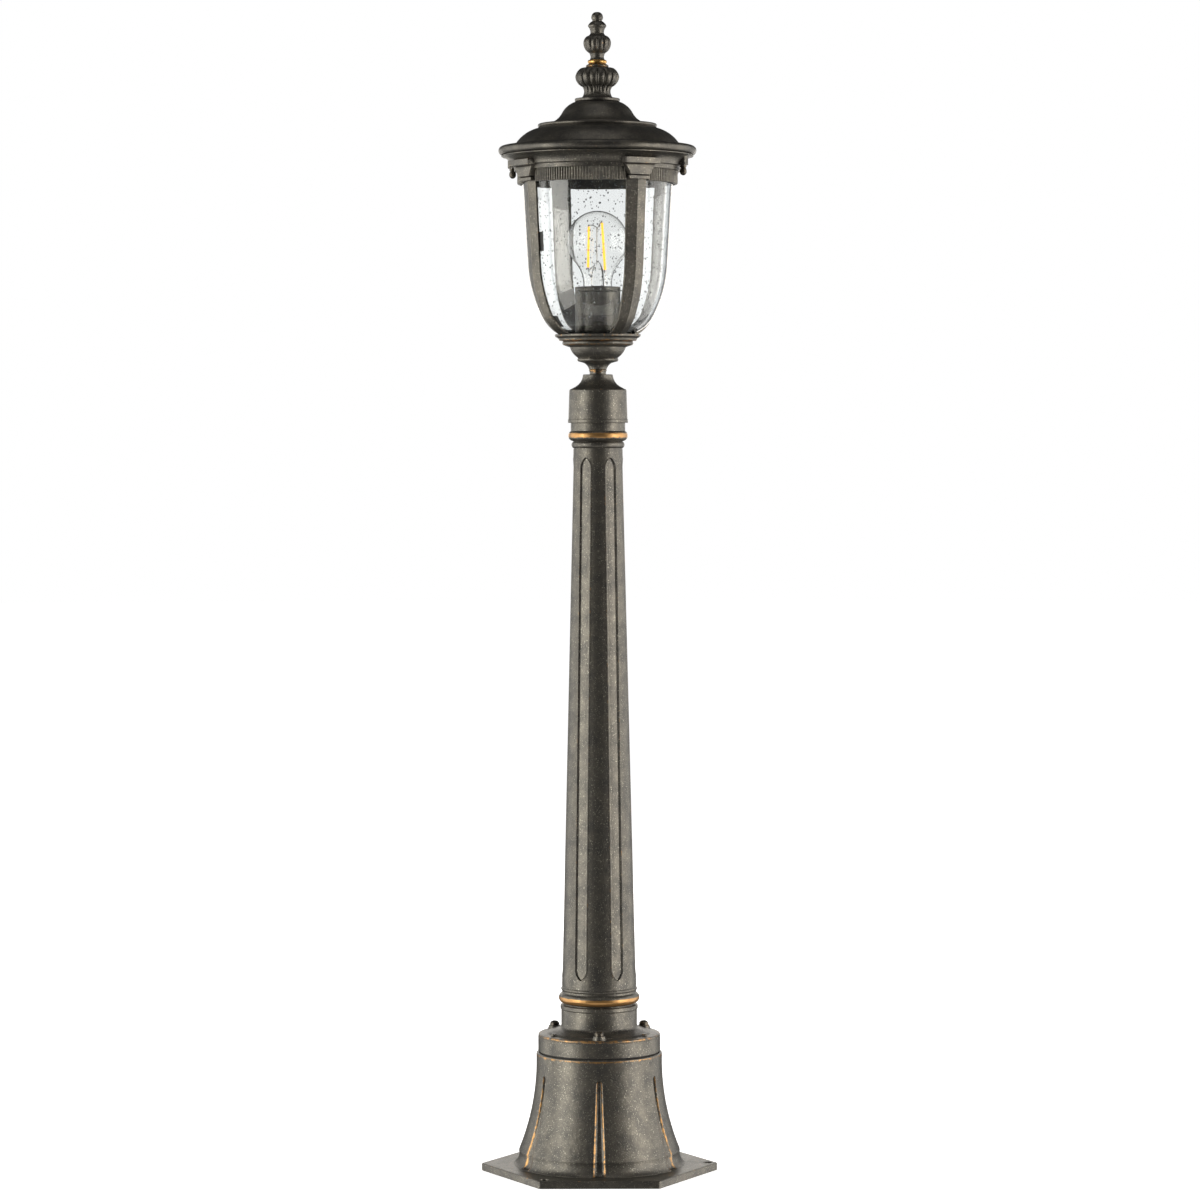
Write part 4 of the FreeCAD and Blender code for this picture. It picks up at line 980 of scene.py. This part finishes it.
def crown_ring():
    """The crown: a plain fascia, a cove and a ledge, with the two lugs for the roof screws."""
    low, top = span_of("crown_ring")

    def gold(point, angle, index):
        if point.x > 87 and point.y > top - 3:
            return 0.22
        return 0.16 if point.x > 78 and point.y < low + 5 else 0.0

    mesh_data = bmesh.new()
    spin(mesh_data, softened(traced([
        (73.2, low), (78.8, low), (78.8, low + 3.9), (80.7, low + 4.6), (90.2, top - 1.2, -12),
        (91, top - 0.9), (91, top), (73.2, top)]), 0.3), 144, None, gold)

    def lug(inset):
        root = 79.1
        nose = 84.6
        half = 5.5 - inset
        bow = [polar(half, swing) for swing in range(-75, 90, 15)]
        return [[Vector((root, -half)), Vector((nose, -half))]
                + [Vector((nose + point.x * 0.64, point.y)) for point in bow]
                + [Vector((nose, half)), Vector((root, half))]]

    for angle in LUG_ANGLES.values():
        slab(mesh_data, lug, low + 4.5, top - 0.1, 0.8, angle)
    return to_object("crown_ring_cast", mesh_data)


def rib(name, angle):
    """A flat bar with a ridge down its middle, which follows the shade and ends in a stepped capital."""
    cup = high_of("bottom_cup")
    crown = low_of("crown_ring")
    side_low = cup + 66
    inner = traced([(36.4, cup + 0.2), (55.68, cup + 18.52, 40.3), (68.2, side_low, 120)], closed=False)
    steps = 26
    for step in range(1, steps + 1):
        inner.append(Vector((mixed(68.2, 73.4, step / steps), mixed(side_low, crown, step / steps))))
    thick = 3.0
    slope = math.tan(math.radians(8))
    outer_slope = math.tan(math.radians(13))
    mesh_data = bmesh.new()
    wear = wear_layer(mesh_data)
    rows = []
    for index, point in enumerate(inner):
        ahead = inner[min(index + 1, len(inner) - 1)] - inner[max(index - 1, 0)]
        out = Vector((ahead.y, -ahead.x)).normalized()
        if point.y < cup + 36:
            half = mixed(8.1, 9.74, (point.y - cup) / 36)
        else:
            half = mixed(9.74, 10.64, min((point.y - cup - 36) / 106, 1))
        section = [(-half, 0.25), (-half, thick - 0.9), (-half + 0.12, thick - 0.45),
                   (-half + 0.45, thick - 0.12), (-half + 0.9, thick), (-half * 0.5, thick), (-0.7, thick),
                   (0, thick + 0.12)]
        section += [(-across, depth) for across, depth in reversed(section[:-1])]
        section += [(half - 0.25, 0), (half * 0.5, 0), (0, 0), (-half * 0.5, 0), (-half + 0.25, 0)]
        row = []
        for across, depth in section:
            fall = mixed(slope, outer_slope, min(depth / thick, 1)) * abs(across)
            reach = point + out * (depth - fall)
            vertex = mesh_data.verts.new((reach.x, across, reach.y))
            edge = abs(abs(across) - half) < 1 and depth > thick - 0.95
            vertex[wear] = 0.24 if edge or (abs(across) < 0.1 and depth > thick) else 0.0
            row.append(vertex)
        rows.append(row)
    capped_skin(mesh_data, rows)

    # The capital: a necking band, a block that widens upwards, and a cornice with a ledge.
    base = crown - 12.2
    block_back = 74.5
    gilded = (1.2, 15.4, 20.2, 20.7, 20.9)
    levels = [
        (0.9, 10.4, 78.1), (1.2, 10.9, 78.6), (3.9, 10.9, 78.6), (4.2, 10.5, 78.2), (4.5, 9.7, 77.3),
        (4.8, 10.2, 79.8), (5.2, 10.7, 80.5), (9.5, 13.0, 80.6), (13.9, 15.8, 80.6), (14.5, 16.1, 80.3),
        (14.8, 15.2, 79.4), (15.0, 17.9, 84.9), (15.4, 18.7, 85.7), (18.0, 19.0, 86.0), (20.2, 19.0, 86.0),
        (20.7, 18.8, 85.8), (20.9, 18.3, 85.3)]
    rows = []
    for height, half, reach in levels:
        corners = [(block_back, -half), (reach, -half), (reach, half), (block_back, half)]
        block = rounded(corners, 0.7, steps=3)
        row = [mesh_data.verts.new((point.x, point.y, base + height)) for point in block]
        for vertex in row:
            vertex[wear] = 0.3 if height in gilded else 0.05
        rows.append(row)
    capped_skin(mesh_data, rows)
    bmesh.ops.rotate(mesh_data, matrix=Matrix.Rotation(math.radians(angle), 3, "Z"), verts=mesh_data.verts)
    return to_object(name + "_cast", mesh_data)


def reeded_strips():
    """The upright reeds under the crown, in four strips between the ribs."""
    low, top = span_of("reeded_strips")
    mesh_data = bmesh.new()
    half_block = 11.3
    gap = math.degrees(math.asin(half_block / 76))
    angles = sorted(angle % 360 for angle in RIB_ANGLES.values())
    pitch = 2.0
    fine = 6
    for begin, end in zip(angles, angles[1:] + [angles[0] + 360]):
        count = int((end - begin - 2 * gap) / pitch)
        start = (begin + end) / 2 - count * pitch / 2
        columns = []
        for index in range(count * fine + 1):
            across = (index % fine) / fine * 2 - 1
            bulge = math.sqrt(max(1 - across * across, 0)) if index % fine else 0
            columns.append((start + index * pitch / fine, bulge))
        rows = []
        for height, cut in ((low, 0.5), (low + 0.4, 0.1), (low + 1.2, 0.0), (top, 0.0)):
            row = [mesh_data.verts.new(polar(75.0 - cut + bulge * (1.0 - cut), turn, height))
                   for turn, bulge in columns]
            row += [mesh_data.verts.new(polar(73.1, turn, height)) for turn, bulge in reversed(columns)]
            rows.append(row)
        skin(mesh_data, rows, closed=False)
        for row in (rows[0], rows[-1]):
            for index in range(len(columns) - 1):
                mesh_data.faces.new((row[index], row[index + 1], row[-index - 2], row[-index - 1]))
    return to_object("reeded_strips_cast", mesh_data)


# -------- roof and finial

def roof():
    """The two-tier roof: a rim bead, a swept tier, a step bead and a cap that sweeps up to the finial."""
    low, top = span_of("roof")
    bead = low + 8.5
    rim = 93.8
    step = 55.6
    neck = 22.3

    def gold(point, angle, index):
        if point.x > 90 and low + 1 < point.y < bead:
            return 0.18
        return 0.2 if abs(point.x - step - 1) < 1.4 and point.y > bead + 17 else 0.0

    made = lathe("roof_cast", [
        (79, low), (rim - 4.25, low), (rim - 4.25, bead, 4.251), (87, bead - 0.5), (84.6, bead + 0.3),
        (80.5, bead + 0.4), (77.6, bead + 2.2, -3.2), (step + 1.8, bead + 16.6, 34), (step, bead + 17.8),
        (step, bead + 20.9, 1.9), (step - 5.6, bead + 21.1), (neck + 11.2, bead + 31.4, -19), (neck, top, 22),
        (4.3, top), (4.3, top - 5), (neck - 4, top - 5), (neck + 6, bead + 31), (step - 8, bead + 17.8),
        (step - 2.5, bead + 15.6), (73, bead + 1.5), (76, bead - 2.5), (79, bead - 4)], 160, 0.4, gold=gold)
    holes = [(polar(LUG_CIRCLE, angle, low - 1), (0, 0, 1), 2.35, 6.6) for angle in LUG_ANGLES.values()]
    return bored(made, holes)


def lobes(count, depth, envelope):
    """A shape function: rounded lobes round the axis, as deep as envelope says at a point."""
    def shape(point, angle, index):
        share = envelope(point)
        if share <= 0:
            return point.x
        across = (angle * count / (2 * math.pi)) % 1 * 2 - 1
        return point.x - depth * share * (1 - math.sqrt(max(1 - across * across * 0.98, 0)))
    return shape


BALL_LOBES = 16
TIP_LOBES = 12


def finial_ball():
    low = low_of("finial_ball")
    ball = 21.1
    centre = low + 23.2

    def envelope(point):
        if point.x < 11 or point.y < low + 6.5 or point.y > centre + 9:
            return 0
        return min(ease((point.y - low - 7) / 5), ease((centre + 9.4 - point.y) / 3.5))

    def gold(point, angle, index):
        if point.x > 19 and point.y < low + 4:
            return 0.25
        if point.y > centre + 9.2 and point.x > 8:
            return 0.45
        across = abs((angle * BALL_LOBES / (2 * math.pi)) % 1 * 2 - 1)
        return 0.26 * (1 - across) if point.x > 17 else 0.0

    return lathe("finial_ball_cast", [
        (4.05, low), (20.1, low), (21.3, low + 1.2, 1.2), (21.3, low + 2.4), (20.5, low + 3.2, 0.8),
        (14.6, low + 4.2), (12.8, low + 8, -7), (14.4, centre - 8.8, -8), (ball, centre, 11.6),
        (15.4, centre + 8.6, 11.6), (10.2, centre + 9.3), (10.2, centre + 11.4, 1.3), (8.4, centre + 12.6),
        (4.05, centre + 12.6)], 160, 0.3, lobes(BALL_LOBES, 2.0, envelope), gold)


def finial_ring():
    low, top = span_of("finial_ring")
    return lathe("finial_ring_gilt", [(4.05, low), (8.1, low), (8.1, top, 2.2), (4.05, top)], 64, 0.2)


def finial_tip():
    low, top = span_of("finial_tip")
    wide = low + 16.5

    def envelope(point):
        if point.x < 6.6 or point.y < low + 6 or point.y > wide + 7:
            return 0
        return min(ease((point.y - low - 7.4) / 5), ease((wide + 6.5 - point.y) / 4))

    def gold(point, angle, index):
        return 0.24 if point.x > 12 or (point.x > 7.6 and point.y > wide + 12) else 0.05

    return lathe("finial_tip_cast", [
        (0, low + 1), (0, low), (7.2, low), (6.8, low + 4.6, -4.5), (8.2, low + 6.8, -3), (13.3, wide, 10.5),
        (9.2, wide + 6, 7.5), (6.4, wide + 8.6, -4), (8.4, wide + 14.5, -8), (8.0, wide + 17, 2),
        (4.6, wide + 20, 8), (4.6, wide + 20.9), (5.4, top - 4.1, 3.6), (0.7, top, 4.6), (0, top)],
        144, 0.25, lobes(TIP_LOBES, 1.5, envelope), gold)


def roof_screw(name):
    """A thumbscrew's drop-shaped knob, bored for its shank."""
    low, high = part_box(name)
    centre = ((low + high) / 2 / MM).xy
    base = low.z / MM
    mesh_data = bmesh.new()
    spin(mesh_data, softened(traced([
        (0, base), (0.7, base), (3.3, base + 3.4, 3.6), (2.2, base + 7.4, 8), (3.1, base + 7.7),
        (3.1, base + 9.3), (1.25, base + 9.3), (1.25, base + 5.1), (0, base + 5.1)]), 0.2), 40, centre=centre)
    return to_object(name + "_turned", mesh_data)


# -------- assembly

piece(foot_plate(), "root", "bronze_paint", "base_bell")
for make in (base_bell, base_collar, post_shaft, post_cap, neck_ring, bottom_cup):
    piece(make(), "root", "bronze_paint", make.__name__)
piece(socket_sleeve(), "root", "bronze_paint", "socket_sleeve", finish="bronze_smooth")
piece(glass_shade(), "root", "clear_glass", "glass_shade")
piece(shade_seeds(1500), "root", "clear_glass", finish="seeds")
piece(crown_ring(), "root", "bronze_paint", "crown_ring")
for rib_name, rib_angle in RIB_ANGLES.items():
    piece(rib(rib_name, rib_angle), "root", "bronze_paint", rib_name)
piece(reeded_strips(), "root", "bronze_paint", "reeded_strips")
piece(bulb_cap(), "bulb", "bulb_cap", "bulb_cap")
piece(bulb_envelope(), "bulb", "bulb_glass", "bulb_envelope")
piece(bulb_stem(), "bulb", "bulb_glass", "bulb_stem")
piece(bulb_wires(), "bulb", "zinc_steel")
piece(bulb_filaments(), "bulb", "filament", "bulb_filaments")
piece(roof(), "roof", "bronze_paint", "roof", finish="bronze_smooth")
piece(finial_ball(), "finial", "bronze_paint", "finial_ball", finish="bronze_smooth")
piece(finial_ring(), "finial", "gold_ring", "finial_ring")
piece(finial_tip(), "finial", "bronze_paint", "finial_tip", finish="bronze_smooth")
for screw_name in LUG_ANGLES:
    piece(roof_screw(screw_name), screw_name, "black_steel", screw_name)

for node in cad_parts.values():
    if not node.hide_render:
        for holder in node.material_slots:
            holder.material = finishes[holder.material.name.split(".")[0]]


# -------- floor, light and camera

def glowing(name, colour, near, far):
    """A white backdrop that glows from near, close to the object, up to far, a metre away.

    What the object mirrors of it through the shade stays dim."""
    shader = Shader(name)
    distance = shader.add("ShaderNodeVectorMath", Vector=shader.place)
    distance.operation = "LENGTH"
    glow = shader.remap(distance.outputs["Value"], 0.25, 1.1, near, far)
    mirrored = shader.add("ShaderNodeLightPath").outputs["Glossy Depth"]
    seen = shader.remap(mirrored, 0.0, 1.0, 1.0, 0.25)
    return shader.finish(Base_Color=colour, Roughness=1.0, Specular_IOR_Level=0.0, Emission_Color=(1, 1, 1),
                         Emission_Strength=shader.maths("MULTIPLY", glow, seen))


def backdrop(name, mesh_data, material):
    """A part of the surroundings that matt surfaces aren't lit by and shiny ones don't mirror directly."""
    thing = mesh_object(name, mesh_data)
    thing.data.materials.append(material)
    thing.visible_glossy = False
    thing.visible_diffuse = False
    thing.visible_shadow = False


floor_mesh = bmesh.new()
floor_height = -0.0006
bmesh.ops.create_circle(floor_mesh, cap_ends=True, segments=96, radius=14.0)
bmesh.ops.translate(floor_mesh, vec=(0, 0, floor_height), verts=floor_mesh.verts)
backdrop("floor", floor_mesh, glowing("floor", (0.8, 0.8, 0.8), 0.88, 1.0))
dome_mesh = bmesh.new()
bmesh.ops.create_uvsphere(dome_mesh, u_segments=48, v_segments=24, radius=15.0)
backdrop("dome", dome_mesh, glowing("dome", (0, 0, 0), 1.0, 1.0))

world = bpy.data.worlds.new("studio")
bpy.context.scene.world = world
world.use_nodes = True
ambient = world.node_tree.nodes["Background"].inputs
ambient["Color"].default_value = (0.95, 0.98, 1.0, 1)
ambient["Strength"].default_value = 0.05


def look(thing, target, roll=0.0):
    """Turn a light or the camera towards a target."""
    thing.rotation_mode = "QUATERNION"
    towards = (Vector(target) - thing.location).to_track_quat("-Z", "Y")
    thing.rotation_quaternion = towards @ Quaternion((0, 0, 1), roll)


def softbox(name, azimuth, distance, height, width, tall, power, colour, aim):
    """A large soft light. Azimuth 0 is on the camera's side, and 90 on the right."""
    light = bpy.data.lights.new(name, "AREA")
    light.shape = "RECTANGLE"
    light.size = width
    light.size_y = tall
    light.energy = power
    light.color = colour
    thing = linked(name, light)
    thing.location = polar(distance, azimuth - 90, height)
    look(thing, (0, 0, aim))
    thing.visible_camera = False
    return thing


softbox("box_left", -62, 2.4, 0.5, 1.4, 3.2, 62, (1.0, 0.98, 0.92), 0.5)
softbox("box_right", 67, 2.4, 0.5, 1.4, 3.2, 62, (1.0, 0.96, 0.9), 0.5)
softbox("side_left", -108, 2.4, 0.5, 2.0, 3.2, 42, (1.0, 0.98, 0.93), 0.5)
softbox("side_right", 110, 2.4, 0.5, 2.0, 3.2, 42, (1.0, 0.97, 0.92), 0.5)
softbox("top", 0, 0.5, 3.0, 1.6, 1.6, 6, (1.0, 0.98, 0.95), 0.5)
softbox("under", 0, 1.6, -1.3, 2.4, 0.9, 9, (1.0, 0.97, 0.92), 0.3)
softbox("back_left", -140, 2.6, 0.8, 0.8, 2.2, 3, (0.95, 0.98, 1.0), 0.6)
softbox("back_right", 140, 2.6, 0.8, 0.8, 2.2, 3, (0.95, 0.98, 1.0), 0.6)
softbox("back", 180, 2.6, 0.75, 2.6, 0.9, 16, (1.0, 0.96, 0.9), 0.3).visible_transmission = False

camera_data = bpy.data.cameras.new("camera")
camera_data.lens = 120
camera_data.sensor_width = 36
camera = linked("camera", camera_data)
camera_side = 0.0016
camera.location = (camera_side, -3.80, 0.693)
look(camera, (camera_side, 0, 0.5453), -0.002)
bpy.context.scene.camera = camera
bpy.context.scene.view_settings.view_transform = "Standard"
